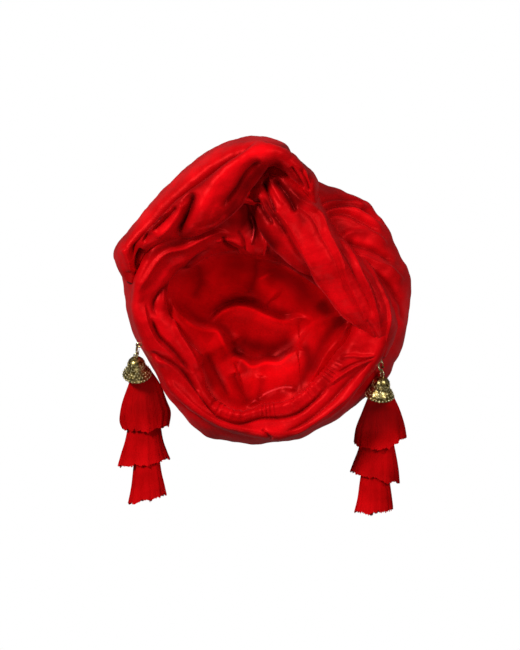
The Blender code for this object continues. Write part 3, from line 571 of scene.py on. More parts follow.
RIGHT_FOLDS = (
    Fold(((266, 190), (273, 206), (286, 222), (296, 238), (309, 262), (323, 286), (346, 312), (372, 342)),
         3.4, 4.0, Shape.LEFT_LIP),
    Fold(((262, 190), (268, 208), (281, 226), (291, 243), (304, 266), (319, 290), (342, 316)),
         3.6, 2.4, Shape.CREASE),
    Fold(((290, 188), (300, 200), (319, 214), (328, 235), (340, 258), (347, 281), (362, 310), (378, 342)),
         3.6, 4.6, Shape.LEFT_LIP),
    Fold(((284, 186), (294, 202), (312, 217), (323, 238), (335, 261), (343, 285), (357, 312)),
         1.6, 2.2, Shape.CREASE),
    Fold(((336, 236), (351, 255), (362, 277), (373, 300), (382, 338)), 3.4, 3.4, Shape.LEFT_LIP),
    Fold(((334, 242), (347, 259), (358, 281), (368, 300), (374, 316)), 2.6, 1.7, Shape.CREASE),
    Fold(((352, 252), (366, 264), (380, 288), (389, 314), (386, 344)), 2.6, 2.6, Shape.LEFT_LIP),
    Fold(((358, 264), (369, 280), (376, 298), (380, 314)), 2.6, 1.6, Shape.CREASE),
    Fold(((255, 198), (262, 212), (272, 226)), 5.0, 2.2, Shape.CREASE),
    Fold(((274, 178), (288, 196), (296, 213)), 6.5, 2.6, Shape.CREASE),
    Fold(((262, 178), (268, 196), (276, 214)), 6.0, 2.6, Shape.CREASE),
    Fold(((268, 176), (276, 190), (284, 206)), 2.6, 2.6),
    Fold(((248, 196), (258, 222), (270, 243), (288, 260), (306, 274), (322, 288), (336, 307),
           (351, 321), (366, 332)),
         2.2, 2.4, Shape.LEFT_LIP),
    Fold(((366, 318), (374, 332), (380, 350)), 1.6, 1.4, Shape.CREASE),
    Fold(((246, 196), (262, 182), (278, 182), (294, 194), (306, 208)), -1.00, 7.0, Shape.TONE),
    Fold(((250, 192), (256, 214), (266, 234), (280, 250)), -0.85, 6.5, Shape.TONE),
    Fold(((262, 196), (272, 216), (286, 236)), -0.60, 4.6, Shape.TONE),
    Fold(((284, 190), (296, 208), (306, 226)), -0.60, 4.0, Shape.TONE),
    Fold(((296, 232), (312, 262), (334, 294), (360, 330)), 0.45, 6.0, Shape.TONE),
    Fold(((256, 226), (270, 246), (288, 264), (306, 278), (324, 292), (340, 310)), -0.50, 3.4, Shape.TONE),
    Fold(((340, 246), (358, 276), (374, 304), (384, 336)), -0.30, 3.0, Shape.TONE),
)
BAND_FOLDS = (
    Fold(((236, 238), (220, 231), (203, 238), (185, 247), (168, 251), (156, 260), (146, 276), (138, 292)),
         4.5, 4.0, Shape.LEFT_LIP),
    Fold(((158, 318), (155, 303), (164, 290), (178, 276), (194, 262), (214, 246)), 5.0, 3.0, Shape.CREASE),
    Fold(((176, 330), (166, 312), (163, 298), (170, 282), (184, 271), (206, 257)), 2.8, 2.6),
    Fold(((237, 231), (243, 240), (246, 250)), 4.0, 1.8, Shape.CREASE),
    Fold(((222, 236), (228, 246), (240, 253)), 4.0, 1.8, Shape.CREASE),
    Fold(((214, 242), (229, 240), (243, 246), (256, 256)), 3.0, 2.0, Shape.LEFT_LIP),
    Fold(((205, 262), (222, 256), (240, 251)), 3.0, 1.6, Shape.CREASE),
    Fold(((167, 308), (176, 330), (192, 356), (206, 386)), 2.6, 1.8),
    Fold(((144, 302), (146, 322), (156, 342), (172, 358), (192, 386)), 3.2, 5.0, Shape.RIGHT_LIP),
    Fold(((152, 318), (160, 336), (176, 352), (194, 374)), 5.0, 2.0, Shape.CREASE),
    Fold(((150, 352), (168, 360), (186, 374), (200, 394)), 4.6, 2.2, Shape.CREASE),
    Fold(((153, 358), (170, 366), (188, 384), (206, 408), (222, 418)), 3.2, 3.4, Shape.RIGHT_LIP),
    Fold(((163, 376), (178, 394), (200, 412), (226, 425), (256, 430)), 2.6, 3.0),
    Fold(((194, 385), (209, 408), (224, 419), (240, 423), (260, 418), (283, 417), (300, 411),
           (320, 394), (336, 372)),
         4.6, 1.6, Shape.CREASE),
    Fold(((213, 392), (222, 408), (238, 415), (254, 413), (270, 408), (288, 405), (304, 395),
           (322, 378), (338, 354)),
         3.0, 3.0),
    Fold(((262, 428), (268, 436), (272, 440)), 3.0, 1.6, Shape.CREASE),
    Fold(((282, 434), (306, 420), (330, 400), (352, 376), (372, 360)), 4.0, 2.0, Shape.CREASE),
    Fold(((290, 437), (318, 420), (346, 398), (366, 374)), 2.4, 3.0, Shape.LEFT_LIP),
    Fold(((326, 388), (342, 376), (358, 366), (376, 358)), 3.2, 2.2, Shape.LEFT_LIP),
    Fold(((336, 374), (350, 366), (364, 361), (376, 357)), 3.4, 1.5, Shape.CREASE),
    Fold(((340, 358), (352, 356), (364, 357), (376, 356)), 2.4, 1.8),
    Fold(((322, 216), (302, 205), (282, 196), (264, 197), (252, 206), (257, 224), (272, 244)), -17.0, 13.0),
    Fold(((224, 206), (236, 210), (244, 218), (250, 232)), -7.0, 6.0),
    Fold(((224, 202), (238, 206), (246, 216), (252, 232), (262, 250)), -1.00, 7.0, Shape.TONE),
    Fold(((250, 218), (254, 232), (250, 246)), 3.0, 2.2, Shape.LEFT_LIP),
    Fold(((262, 232), (266, 244), (264, 256)), 2.4, 2.0, Shape.LEFT_LIP),
    Fold(((216, 226), (232, 222), (246, 230)), -0.60, 6.0, Shape.TONE),
    Fold(((262, 246), (280, 258), (302, 274), (324, 292), (344, 314), (354, 330)), -0.90, 6.5, Shape.TONE),
    Fold(((140, 262), (152, 252), (168, 246), (188, 240), (208, 232), (224, 224)), -0.75, 3.6, Shape.TONE),
    Fold(((150, 290), (162, 276), (182, 262), (206, 248)), 0.20, 6.0, Shape.TONE),
    Fold(((236, 432), (262, 432), (290, 424)), 0.45, 4.0, Shape.TONE),
    Fold(((318, 388), (336, 366), (348, 348)), -0.35, 4.0, Shape.TONE),
)
LINING_FOLDS = (
    Fold(((164, 296), (176, 310), (190, 323), (204, 329), (217, 331), (224, 342), (231, 356),
           (238, 378), (244, 400)),
         8.0, 12.0, Shape.RIGHT_LIP),
    Fold(((200, 334), (212, 322), (223, 312), (237, 307), (252, 309), (267, 316), (284, 321),
           (299, 318), (314, 322)),
         9.0, 13.0, Shape.RIGHT_LIP),
    Fold(((214, 362), (229, 358), (241, 359), (252, 366), (265, 362), (279, 362), (289, 355),
           (298, 350), (312, 356)),
         9.0, 14.0, Shape.RIGHT_LIP),
    Fold(((350, 314), (324, 321), (307, 333), (298, 354)), 6.0, 8.0, Shape.LEFT_LIP),
    Fold(((358, 318), (336, 338), (322, 360), (309, 390)), 7.0, 9.0, Shape.LEFT_LIP),
    Fold(((206, 322), (220, 307), (236, 301), (253, 303), (270, 310), (286, 315), (302, 312)),
         -0.75, 4.5, Shape.TONE),
    Fold(((220, 320), (236, 313), (252, 315), (268, 322), (286, 327), (302, 324)), 0.50, 3.6, Shape.TONE),
    Fold(((234, 340), (256, 346), (276, 348), (296, 338)), -0.90, 9.0, Shape.TONE),
    Fold(((178, 302), (200, 320), (222, 326), (234, 344), (242, 362), (250, 392)), -0.60, 4.0, Shape.TONE),
    Fold(((174, 316), (196, 334), (214, 346), (224, 372)), 0.15, 6.0, Shape.TONE),
    Fold(((184, 340), (202, 366), (216, 392)), -0.45, 6.0, Shape.TONE),
    Fold(((232, 370), (246, 378), (264, 376), (282, 372), (294, 362)), 0.42, 6.0, Shape.TONE),
    Fold(((216, 366), (230, 353), (241, 352), (254, 359), (266, 356), (280, 355), (298, 343)),
         -0.45, 3.0, Shape.TONE),
    Fold(((214, 392), (240, 404), (270, 398), (296, 388)), -0.50, 6.0, Shape.TONE),
    Fold(((304, 340), (308, 360), (302, 382), (290, 394)), -0.75, 5.0, Shape.TONE),
    Fold(((350, 312), (330, 332), (318, 352), (312, 378)), -0.65, 5.0, Shape.TONE),
    Fold(((264, 262), (288, 278), (310, 296), (332, 318)), -0.60, 9.0, Shape.TONE),
    Fold(((212, 323), (223, 313), (237, 308), (252, 310), (267, 317), (284, 322), (299, 319)),
         0.80, 1.5, Shape.TONE),
    Fold(((226, 360), (241, 360), (252, 367), (265, 363), (279, 363), (289, 356), (298, 351)),
         0.80, 1.5, Shape.TONE),
    Fold(((176, 311), (190, 324), (204, 330), (217, 332), (223, 343), (230, 357)), 0.60, 1.5, Shape.TONE),
    Fold(((318, 300), (334, 316), (350, 330)), -0.55, 8.0, Shape.TONE),
    Fold(((176, 284), (196, 272), (222, 262), (250, 266), (284, 276), (310, 294)), -0.15, 7.0, Shape.TONE),
    Fold(((196, 296), (224, 288), (262, 292), (296, 300)), 0.40, 15.0, Shape.TONE),
    Fold(((260, 276), (266, 288), (276, 294)), 0.50, 5.0, Shape.TONE),
    Fold(((206, 284), (218, 292), (230, 290)), 0.25, 6.0, Shape.TONE),
    Fold(((262, 276), (268, 288), (276, 298)), 3.5, 8.0),
    Fold(((196, 262), (200, 282), (192, 300)), 3.5, 6.0, Shape.CREASE),
    Fold(((256, 256), (256, 274), (248, 294)), 3.5, 6.0, Shape.CREASE),
    Fold(((234, 372), (240, 388), (250, 404)), 4.0, 6.0, Shape.CREASE),
    Fold(((262, 374), (260, 390), (258, 402)), 3.0, 5.0, Shape.CREASE),
    Fold(((205, 352), (216, 372), (230, 398)), 4.0, 4.0, Shape.CREASE),
    Fold(((246, 407), (262, 395), (282, 387), (298, 388)), 5.0, 4.0, Shape.RIGHT_LIP),
)
CROWN_FOLDS = (
    Fold(((318, 206), (332, 202), (354, 202), (368, 208)), 3.0, 4.0, Shape.RIGHT_LIP),
    Fold(((316, 204), (332, 199), (354, 198), (366, 203)), 4.0, 1.8, Shape.CREASE),
    Fold(((320, 213), (344, 208), (362, 213), (384, 230)), 3.4, 4.6, Shape.RIGHT_LIP),
    Fold(((320, 210), (344, 204), (362, 208), (380, 220)), 4.4, 1.8, Shape.CREASE),
    Fold(((324, 219), (343, 217), (358, 224), (378, 234)), 2.6, 3.4, Shape.RIGHT_LIP),
    Fold(((324, 216), (343, 213), (360, 220), (380, 232)), 3.6, 1.6, Shape.CREASE),
    Fold(((340, 236), (358, 231), (374, 234), (388, 246)), 3.2, 5.0, Shape.RIGHT_LIP),
    Fold(((342, 241), (360, 246), (378, 252), (394, 262)), 4.2, 2.6, Shape.CREASE),
    Fold(((352, 252), (372, 260), (392, 270), (404, 282)), 3.2, 5.0, Shape.RIGHT_LIP),
    Fold(((372, 272), (388, 284), (398, 302), (402, 324)), 3.4, 2.6, Shape.CREASE),
    Fold(((394, 296), (402, 318), (400, 342), (392, 362)), 2.4, 3.6),
    Fold(((330, 214), (356, 212), (378, 226)), 0.70, 5.0, Shape.TONE),
    Fold(((352, 240), (372, 244), (392, 256)), 0.75, 5.0, Shape.TONE),
    Fold(((378, 270), (394, 286), (402, 306), (400, 340)), 0.55, 6.0, Shape.TONE),
    Fold(((338, 226), (356, 232), (366, 240)), -0.40, 4.0, Shape.TONE),
)
CROWN_EDGE = (
    (411, 290), (409, 270), (403, 260), (396, 246), (389, 230),
    (379, 216), (365, 200), (344, 191), (325, 185),
    (300, 172), (270, 162), (235, 162), (200, 176), (172, 196),
    (150, 220), (132, 246), (122, 268), (124, 290),
    (127, 310), (133, 332), (144, 352), (154, 370), (164, 392),
    (180, 412), (203, 435), (226, 441), (250, 444),
    (276, 442), (300, 438), (320, 429), (339, 418), (361, 401),
    (377, 388), (388, 377), (394, 362), (402, 340),
    (408, 315),
)

MOUTH_EDGE = (
    (257, 258), (241, 253), (224, 252), (209, 257), (192, 267), (180, 272), (173, 279), (168, 290),
    (165, 304), (167, 316), (178, 328), (190, 344), (202, 356), (201, 370), (207, 386), (217, 402),
    (233, 410), (249, 410), (262, 404), (283, 402), (296, 395), (310, 384), (322, 372), (334, 355),
    (347, 340), (352, 324), (340, 306), (322, 290), (300, 274), (280, 262),
)
LIP_EDGE = (
    (270, 190), (225, 196), (185, 214), (155, 238), (139, 266), (132, 290), (132, 316), (143, 347),
    (150, 357), (165, 385), (180, 400), (196, 413), (217, 427), (244, 435), (272, 440), (287, 439),
    (313, 428), (342, 409), (361, 386), (378, 365), (388, 346), (392, 322), (382, 292), (360, 266),
    (336, 240), (310, 212),
)


class Plan:
    """Columns of the rim's table: heights as shares of RIM_HEIGHT, from +X round."""

    CREST, DIP = range(2)


class Side:
    """Columns of the crown's side: out and up as shares, and how far it turns in to the band."""

    OUT, UP, IN = range(3)


class Section:
    """Columns of the band's section: how far over it, its rise, and its fall to the opening."""

    OVER, RISE, FALL = range(3)


PLAN_ROWS = (
    (0.91, 0.79), (0.95, 0.79), (0.99, 0.78), (1.02, 0.77), (1.04, 0.77), (1.06, 0.78),
    (1.08, 0.79), (1.08, 0.81), (1.06, 0.83), (1.02, 0.84), (0.97, 0.82), (0.92, 0.79),
    (0.87, 0.75), (0.83, 0.70), (0.80, 0.66), (0.78, 0.66), (0.77, 0.66), (0.76, 0.66),
    (0.75, 0.66), (0.75, 0.66), (0.76, 0.66), (0.78, 0.67), (0.81, 0.70), (0.86, 0.75),
)
SIDE_ROWS = (
    (0.02, 0.00, 0.00), (0.30, 0.00, 0.00), (0.60, 0.00, 0.00), (0.77, 0.04, 0.00),
    (0.89, 0.13, 0.00), (0.97, 0.28, 0.00), (1.00, 0.46, 0.00), (1.00, 0.63, 0.14),
    (1.00, 0.79, 0.42), (1.00, 0.91, 0.76), (1.00, 0.99, 1.02), (1.00, 0.96, 1.25),
)
RIM_HEIGHT = 0.080
BAND_RISE = 0.055
BAND_PROFILE = (
    (0.09, -0.30, 0.0), (0.01, -0.22, 0.0), (0.00, -0.06, 0.0), (0.06, 0.06, 0.0),
    (0.20, 0.11, 0.02), (0.40, 0.07, 0.14), (0.60, 0.07, 0.36), (0.80, 0.07, 0.62),
    (0.93, 0.03, 0.84), (1.00, -0.06, 1.0), (1.00, -0.20, 1.0), (0.94, -0.34, 1.0),
)


def plan_values(count: int) -> np.ndarray:
    """Sample the plan table all round.

    Args:
        count: How many angles to sample.

    Returns:
        One row of crest and dip for each angle, from the +X direction round.
    """
    return spline(np.array(PLAN_ROWS), count, closed=True)


def edge_radii(edge: Line, count: int) -> np.ndarray:
    """Turn a closed outline of the picture plane into radii round its origin.

    Args:
        edge: The outline.
        count: How many angles to sample, from the +X direction round.

    Returns:
        Radii on the picture plane.
    """
    points = spline(np.array(edge, float), 12 * len(edge), closed=True)
    dx, dy = points[:, 0] - MIDDLE[0], MIDDLE[1] - points[:, 1]
    angles = np.degrees(np.arctan2(dy, dx)) % 360.0
    order = np.argsort(angles)
    wanted = np.linspace(0.0, 360.0, count, endpoint=False)
    return np.interp(wanted, angles[order], np.hypot(dx, dy)[order], period=360.0)


def polar_points(radii: np.ndarray, heights: np.ndarray) -> np.ndarray:
    """Place rings of points from their radii on the picture plane.

    Args:
        radii: Radii on the picture plane, one row for each angle.
        heights: Heights in metres, of the same shape.

    Returns:
        Points in metres.
    """
    turn = np.linspace(0.0, 2.0 * math.pi, radii.shape[0], endpoint=False)[:, None]
    return to_world(MIDDLE[0] + radii * np.cos(turn), MIDDLE[1] - radii * np.sin(turn), heights)


def folded_object(name: str, points: np.ndarray, folds: tuple[Fold, ...], normals: np.ndarray,
                  extra: np.ndarray | float, around: bool, across: bool,
                  floor: float = 0.0003) -> bpy.types.Object:
    """Raise and lower a surface along its folds, and paint shade into its creases, highlights on its crests
    and strokes of light and shade into its colour.

    Args:
        name: The object's name.
        points: The smooth surface.
        folds: The folds on it.
        normals: Its normals, shorter where the folds are weaker.
        extra: Heights in millimetres added to the folds'.
        around: True where the grid's first axis closes on itself.
        across: True where its second axis does.
        floor: The lowest height that it may reach, in metres.

    Returns:
        The object, with the attributes "fold", painted shade below 0 in creases and painted highlight above
        0 on crests, and "tone", painted light and shade.
    """
    px, py = to_picture(points)
    high = np.zeros(px.shape)
    low = np.zeros(px.shape)
    painted_shade_and_highlight = np.zeros(px.shape)
    tone = np.zeros(px.shape)
    for fold in folds:
        lift = fold.lift(px, py)
        # Painted light and shade strokes change only the colour, not the height.
        if fold.shape is Shape.TONE:
            tone += lift
            continue
        high = np.maximum(high, lift)
        low = np.minimum(low, lift)
        share = lift / fold.height
        # Creases get painted shade, and lip crests painted highlights, in the "fold" attribute.
        if fold.shape is Shape.CREASE:
            painted_shade_and_highlight = np.minimum(painted_shade_and_highlight, share * min(1.0, fold.height / DEEP_CREASE))
        elif fold.shape is not Shape.RIDGE:
            crest = np.clip((share - CREST_START) / (1.0 - CREST_START), 0.0, 1.0)
            painted_shade_and_highlight = np.where((crest > 0.0) & (painted_shade_and_highlight > NEAR_CREASE), np.maximum(painted_shade_and_highlight, crest), painted_shade_and_highlight)
    moved = points + normals * ((high + low + extra) * MM)[..., None]
    moved[..., 2] = np.maximum(moved[..., 2], floor)
    return grid_object(name, moved, around, across, {"fold": painted_shade_and_highlight, "tone": np.clip(tone, -1.0, 1.0)})


@dataclass
class Wrap:
    """A wound wrap: a soft roll between two edges.

    Attributes:
        name: The piece's name.
        stations: Its table.
        folds: Its folds.
        along: Samples along it.
        round: Samples round its section.
        squareness: The power that shapes its section, 1 for an oval.
        ends: The share of its length in which the folds die out at each end.
    """

    name: str
    stations: tuple[tuple[float, ...], ...]
    folds: tuple[Fold, ...]
    along: int = 340
    round: int = 180
    squareness: float = 0.80
    ends: float = 0.06

    def build(self) -> bpy.types.Object:
        """Build the folded roll.

        Returns:
            The object.
        """
        rows = spline(np.array(self.stations, float), self.along)
        turn = np.linspace(-0.5 * math.pi, 1.5 * math.pi, self.round, endpoint=False)[None, :]
        across = np.sign(np.cos(turn)) * np.abs(np.cos(turn)) ** self.squareness
        upward = np.sign(np.sin(turn)) * np.abs(np.sin(turn)) ** self.squareness
        share = 0.5 - 0.5 * across
        px = rows[:, Station.OUTER_X, None] * (1 - share) + rows[:, Station.INNER_X, None] * share
        py = rows[:, Station.OUTER_Y, None] * (1 - share) + rows[:, Station.INNER_Y, None] * share
        outer = across > 0.0
        middle = np.where(outer, rows[:, Station.OUTER_SIDE, None], rows[:, Station.INNER_SIDE, None])
        top = rows[:, Station.TOP, None] - middle
        bottom = middle - rows[:, Station.LOW, None]
        height = middle + np.where(upward > 0.0, top * upward, bottom * upward)
        points = to_world(px, py, height * MM)
        normals = self.outward(points)
        ripple = 0.55 * wander(points, 0.030, 3.0) + 0.25 * wander(points, 0.012, 7.0)
        place = np.linspace(0.0, 1.0, self.along)[:, None]
        calm = smoothstep(np.minimum(place, 1.0 - place) / self.ends)
        return folded_object(self.name, points, self.folds, normals * calm[..., None], ripple,
                             around=False, across=True)

    def outward(self, points: np.ndarray) -> np.ndarray:
        """Return the roll's normals, facing away from its middle line."""
        normals = grid_normals(points, False, True)
        middle = points.mean(axis=1, keepdims=True)
        facing = np.sign(np.sum(normals * (points - middle), axis=(1, 2)).sum())
        return normals * facing


@dataclass
class Crown:
    """The bag of the turban: its outside, from the rest patch to under the rim band.

    Attributes:
        around: Samples round it.
        rise: Samples up its side.
        tuck: How far its top lies inside the band's lip, on the picture plane.
        drop: How far its top lies below the band's crest, in metres.
    """

    around: int = 480
    rise: int = 100
    tuck: float = 1.0
    drop: float = 0.006

    def build(self) -> bpy.types.Object:
        """Build the crown's outside.

        Returns:
            The object.
        """
        side = spline(np.array(SIDE_ROWS), self.rise)
        bulge = edge_radii(CROWN_EDGE, self.around)[:, None]
        lip = edge_radii(LIP_EDGE, self.around)[:, None] - self.tuck
        top = plan_values(self.around)[:, Plan.CREST, None] * RIM_HEIGHT - self.drop
        radii = bulge * side[None, :, Side.OUT] + (lip - bulge) * side[None, :, Side.IN]
        points = polar_points(radii, np.maximum(top * side[None, :, Side.UP], 0.0))
        normals = grid_normals(points, True, False)
        body = smoothstep(side[:, Side.UP] * 5.0)[None, :]
        drape = 0.9 * wander(points, 0.055, 1.0) + 0.45 * wander(points, 0.020, 4.0)
        return folded_object("crown_outside", points, CROWN_FOLDS, normals * body[..., None], drape,
                             around=True, across=False)


@dataclass
class Lining:
    """The inside of the bag, sagging in soft folds.

    Attributes:
        around: Samples round it.
        across: Samples from its middle to the rim.
        lap: How far it runs on under the band, on the picture plane.
        level: The height of its floor, in metres.
        below: How far its edge lies below the band's, in metres.
        start: The share of its radius where it starts to rise.
        rise: The share over which it rises.
        swell: The power that fills the bowl out.
        calm: The share of its radius where its folds start to die out.
    """

    around: int = 400
    across: int = 150
    lap: float = 3.4
    level: float = 0.0045
    below: float = 0.0050
    start: float = 0.30
    rise: float = 0.72
    swell: float = 1.15
    calm: float = 0.86

    def build(self) -> bpy.types.Object:
        """Build the inside.

        Returns:
            The object.
        """
        edge = edge_radii(MOUTH_EDGE, self.around)[:, None]
        dip = plan_values(self.around)[:, Plan.DIP, None] * RIM_HEIGHT
        share = np.linspace(0.0, 1.0, self.across)[None, :]
        radii = share * (edge + self.lap)
        bowl = smoothstep((share - self.start) / self.rise) ** self.swell
        height = self.level + (dip - self.below - self.level) * bowl
        points = polar_points(radii, height)
        upward = np.zeros(points.shape)
        upward[..., 2] = 1.0
        calm = 1.0 - smoothstep((share - self.calm) / (1.0 - self.calm))
        sag = 1.8 * wander(points, 0.07, 2.0) + 0.3 * wander(points, 0.03, 9.0)
        return folded_object("inside", points, LINING_FOLDS, upward * calm[..., None], sag,
                             around=True, across=False, floor=0.003)


@dataclass
class Band:
    """The rolled facing round the opening, gathered on elastic at the nape.

    Attributes:
        around: Samples round it.
        across: Samples over it.
    """

    around: int = 700
    across: int = 108

    def build(self) -> bpy.types.Object:
        """Build the rim band.

        Returns:
            The object.
        """
        plan = plan_values(self.around)
        crest = plan[:, Plan.CREST, None] * RIM_HEIGHT
        dip = plan[:, Plan.DIP, None] * RIM_HEIGHT
        lip = edge_radii(LIP_EDGE, self.around)[:, None]
        mouth = edge_radii(MOUTH_EDGE, self.around)[:, None]
        profile = spline(np.array(BAND_PROFILE), self.across)
        radii = lip + (mouth - lip) * profile[None, :, Section.OVER]
        fall = (dip - crest) * profile[None, :, Section.FALL]
        height = crest + fall + BAND_RISE * profile[None, :, Section.RISE]
        points = polar_points(radii, height)
        normals = grid_normals(points, True, False)
        px, py = to_picture(points)
        drape = 0.5 * wander(points, 0.030, 5.0) + 0.2 * wander(points, 0.012, 8.0)
        extra = drape + self.gathers(px, py, profile[None, :, Section.OVER])
        return folded_object("rim_facing", points, BAND_FOLDS, normals, extra, around=True, across=False)

    def gathers(self, px: np.ndarray, py: np.ndarray, share: np.ndarray) -> np.ndarray:
        """Work out the fine gathers on the elastic.

        Args:
            px: Positions across the picture plane.
            py: Positions down the picture plane.
            share: How far over the band each point is.

        Returns:
            Heights in millimetres.
        """
        turn = np.degrees(np.arctan2(MIDDLE[1] - py, px - MIDDLE[0])) % 360.0
        nape = smoothstep((turn - 222.0) / 16.0) * (1.0 - smoothstep((turn - 332.0) / 16.0))
        inner = smoothstep((share - 0.52) / 0.22)
        uneven = turn * 1.5 + 3.1 * np.sin(turn * 0.23) + 2.3 * np.sin(turn * 0.11 + 2.0)
        size = np.clip(0.45 + 0.40 * np.sin(turn * 0.37 + 1.0) + 0.30 * np.sin(turn * 0.91), 0.05, 1.1)
        return 0.9 * nape * inner * size * np.sin(uneven + 2.0 * share)


@dataclass(frozen=True)
class Tier:
    """One tier of a tassel: a skirt of silk strands between two outlines.

    Attributes:
        left: Its left outline on the picture plane.
        right: Its right outline.
        sag: How far its middle hangs below the line between its ends.
        start: Its height where it starts, in millimetres.
        end: Its height at the cut ends.
        thick: Half its thickness, in millimetres.
    """

    left: Line
    right: Line
    sag: float
    start: float
    end: float
    thick: float


LEFT_TIERS = (
    Tier(((134, 369), (128, 386), (122, 404), (120, 420), (123, 428)),
         ((150, 369), (160, 384), (166, 400), (170, 412), (168, 425)), 5.0, 33.0, 15.0, 9.0),
    Tier(((131, 404), (126, 436), (121, 454), (118, 465)),
         ((158, 404), (162, 436), (166, 450), (169, 458)), 4.0, 16.0, 10.0, 8.0),
    Tier(((135, 446), (133, 470), (131, 488), (128, 503)),
         ((158, 446), (161, 470), (164, 484), (166, 494)), 2.0, 11.0, 8.5, 7.0),
)
RIGHT_TIERS = (
    Tier(((370, 392), (362, 412), (356, 428), (354, 442)),
         ((390, 389), (399, 408), (404, 424), (406, 436)), 11.0, 44.0, 16.0, 9.0),
    Tier(((364, 428), (359, 448), (354, 462), (351, 471)),
         ((390, 428), (395, 450), (398, 468), (399, 482)), 3.0, 18.0, 10.0, 8.0),
    Tier(((363, 462), (360, 482), (358, 498), (355, 511)),
         ((388, 462), (390, 482), (392, 498), (393, 508)), 4.0, 11.0, 8.5, 7.0),
)


@dataclass
class Tassel:
    """A silk tassel in three tiers.

    Attributes:
        side: left or right.
        tiers: Its tiers from the cap down.
        seed: A number that sets its unevenness.
        strands: Strands round a tier.
        steps: Samples down a tier.
        fineness: Samples across a strand.
    """

    side: str
    tiers: tuple[Tier, ...]
    seed: float
    strands: int = 130
    steps: int = 44
    fineness: int = 4

    def build(self) -> list[bpy.types.Object]:
        """Build the tiers.

        Returns:
            The tiers' objects.
        """
        return [self.skirt(index, tier) for index, tier in enumerate(self.tiers)]

    def skirt(self, index: int, tier: Tier) -> bpy.types.Object:
        """Build one tier.

        Args:
            index: The tier's place from the cap.
            tier: Its shape.

        Returns:
            The object.
        """
        count = self.strands * self.fineness
        turn = np.linspace(0.0, 2.0 * math.pi, count, endpoint=False)[:, None]
        t = np.linspace(0.0, 1.0, self.steps)
        left = spline(np.array(tier.left, float), self.steps)[None, :, :]
        right = spline(np.array(tier.right, float), self.steps)[None, :, :]
        rng = np.random.default_rng(int(100 * self.seed) + index)
        cut = np.repeat(rng.normal(0.0, 1.0, self.strands), self.fineness)[:, None]
        lock = (np.sin(turn * 5.0 + self.seed + index) + 0.7 * np.sin(turn * 9.0 + 2.0 * self.seed)
                + 0.5 * np.sin(turn * 17.0 + 3.0 * index))
        strand = np.cos(turn * self.strands)
        swing = turn + 0.05 * np.sin(turn * 11.0 + self.seed) * t
        side = np.cos(swing)
        grow = t[None, :] ** 1.4
        body = 1.0 + (0.020 * lock + 0.022 * strand) * (0.35 + 0.65 * grow)
        middle, half = (left + right) / 2, (right - left) / 2
        drop = (tier.sag * (1.0 - side**2) + 0.9 * lock + 0.55 * cut) * t[None, :] ** 2
        px = middle[..., 0] + half[..., 0] * side * body
        py = middle[..., 1] + half[..., 1] * side * body + drop
        level = tier.start + (tier.end - tier.start) * smoothstep(t * 1.15)[None, :] ** 0.8
        thick = tier.thick * (0.72 + 0.28 * grow)
        height = level + thick * np.sin(swing) * body + 0.35 * lock * grow
        height = np.maximum(height, 0.3 + 0.2 * (strand + 1.0))
        return grid_object(f"tassel_{self.side}_tier_{index + 1}", to_world(px, py, height * MM),
                           around=True, across=False)


TASSELS = (Tassel("left", LEFT_TIERS, 0.4), Tassel("right", RIGHT_TIERS, 2.1))


@dataclass(frozen=True)
class Hanging:
    """Where one side's fittings hang, in metres and unit directions.

    Attributes:
        side: left or right.
        ring: The sewn ring's centre.
        along: The way the chain runs.
        up: The way out of the clasp's face.
        clasp: The top of the clasp.
        link: The link's centre.
        cap: The top of the cap.
        cap_along: The way from the cap's top to its mouth.
    """

    side: str
    ring: tuple[float, float, float]
    along: tuple[float, float, float]
    up: tuple[float, float, float]
    clasp: tuple[float, float, float]
    link: tuple[float, float, float]
    cap: tuple[float, float, float]
    cap_along: tuple[float, float, float]


HANGINGS = (
    Hanging("left", ring=(-0.11117, -0.01763, 0.0591), along=(-0.25066, -0.62041, -0.74314),
            up=(-0.94995, 0.00977, 0.31226), clasp=(-0.11105, -0.01882, 0.0595),
            link=(-0.11445, -0.02723, 0.04943), cap=(-0.11455, -0.03022, 0.0469),
            cap_along=(0.0275, -0.78753, -0.61566)),
    Hanging("right", ring=(0.10564, -0.03157, 0.06319), along=(0.17692, -0.91015, -0.37461),
            up=(0.78949, -0.09605, 0.60621), clasp=(0.10641, -0.03147, 0.0622),
            link=(0.1088, -0.0438, 0.05713), cap=(0.10864, -0.04735, 0.05544),
            cap_along=(-0.09395, -0.89387, -0.43837)),
)


def wire(name: str, course: np.ndarray, radius: np.ndarray | float, closed: bool,
         sides: int = 14) -> bpy.types.Object:
    """Make a round wire along a line.

    Args:
        name: The object's name.
        course: The line's points.
        radius: Its radius in metres, or one for each point.
        closed: True for a ring.
        sides: Points round the wire.

    Returns:
        The object.
    """
    course = np.asarray(course, float)
    if closed:
        ahead = np.roll(course, -1, 0) - np.roll(course, 1, 0)
    else:
        ahead = np.gradient(course, axis=0)
    ahead /= np.linalg.norm(ahead, axis=1, keepdims=True)
    _, _, axes = np.linalg.svd(course - course.mean(axis=0), full_matrices=True)
    flat = axes[2] - ahead * (ahead @ axes[2])[:, None]
    flat /= np.linalg.norm(flat, axis=1, keepdims=True)
    other = np.cross(ahead, flat)
    turn = np.linspace(0.0, 2.0 * math.pi, sides, endpoint=False)
    size = np.broadcast_to(np.asarray(radius, float), (len(course),))[:, None, None]
    ring = flat[:, None, :] * np.cos(turn)[None, :, None] + other[:, None, :] * np.sin(turn)[None, :, None]
    points = course[:, None, :] + ring * size
    if not closed:
        first, last = (course[end, None, :].repeat(sides, 1) for end in (slice(0, 1), slice(-1, None)))
        points = np.concatenate([first, points, last])
    return grid_object(name, points, around=closed, across=True)


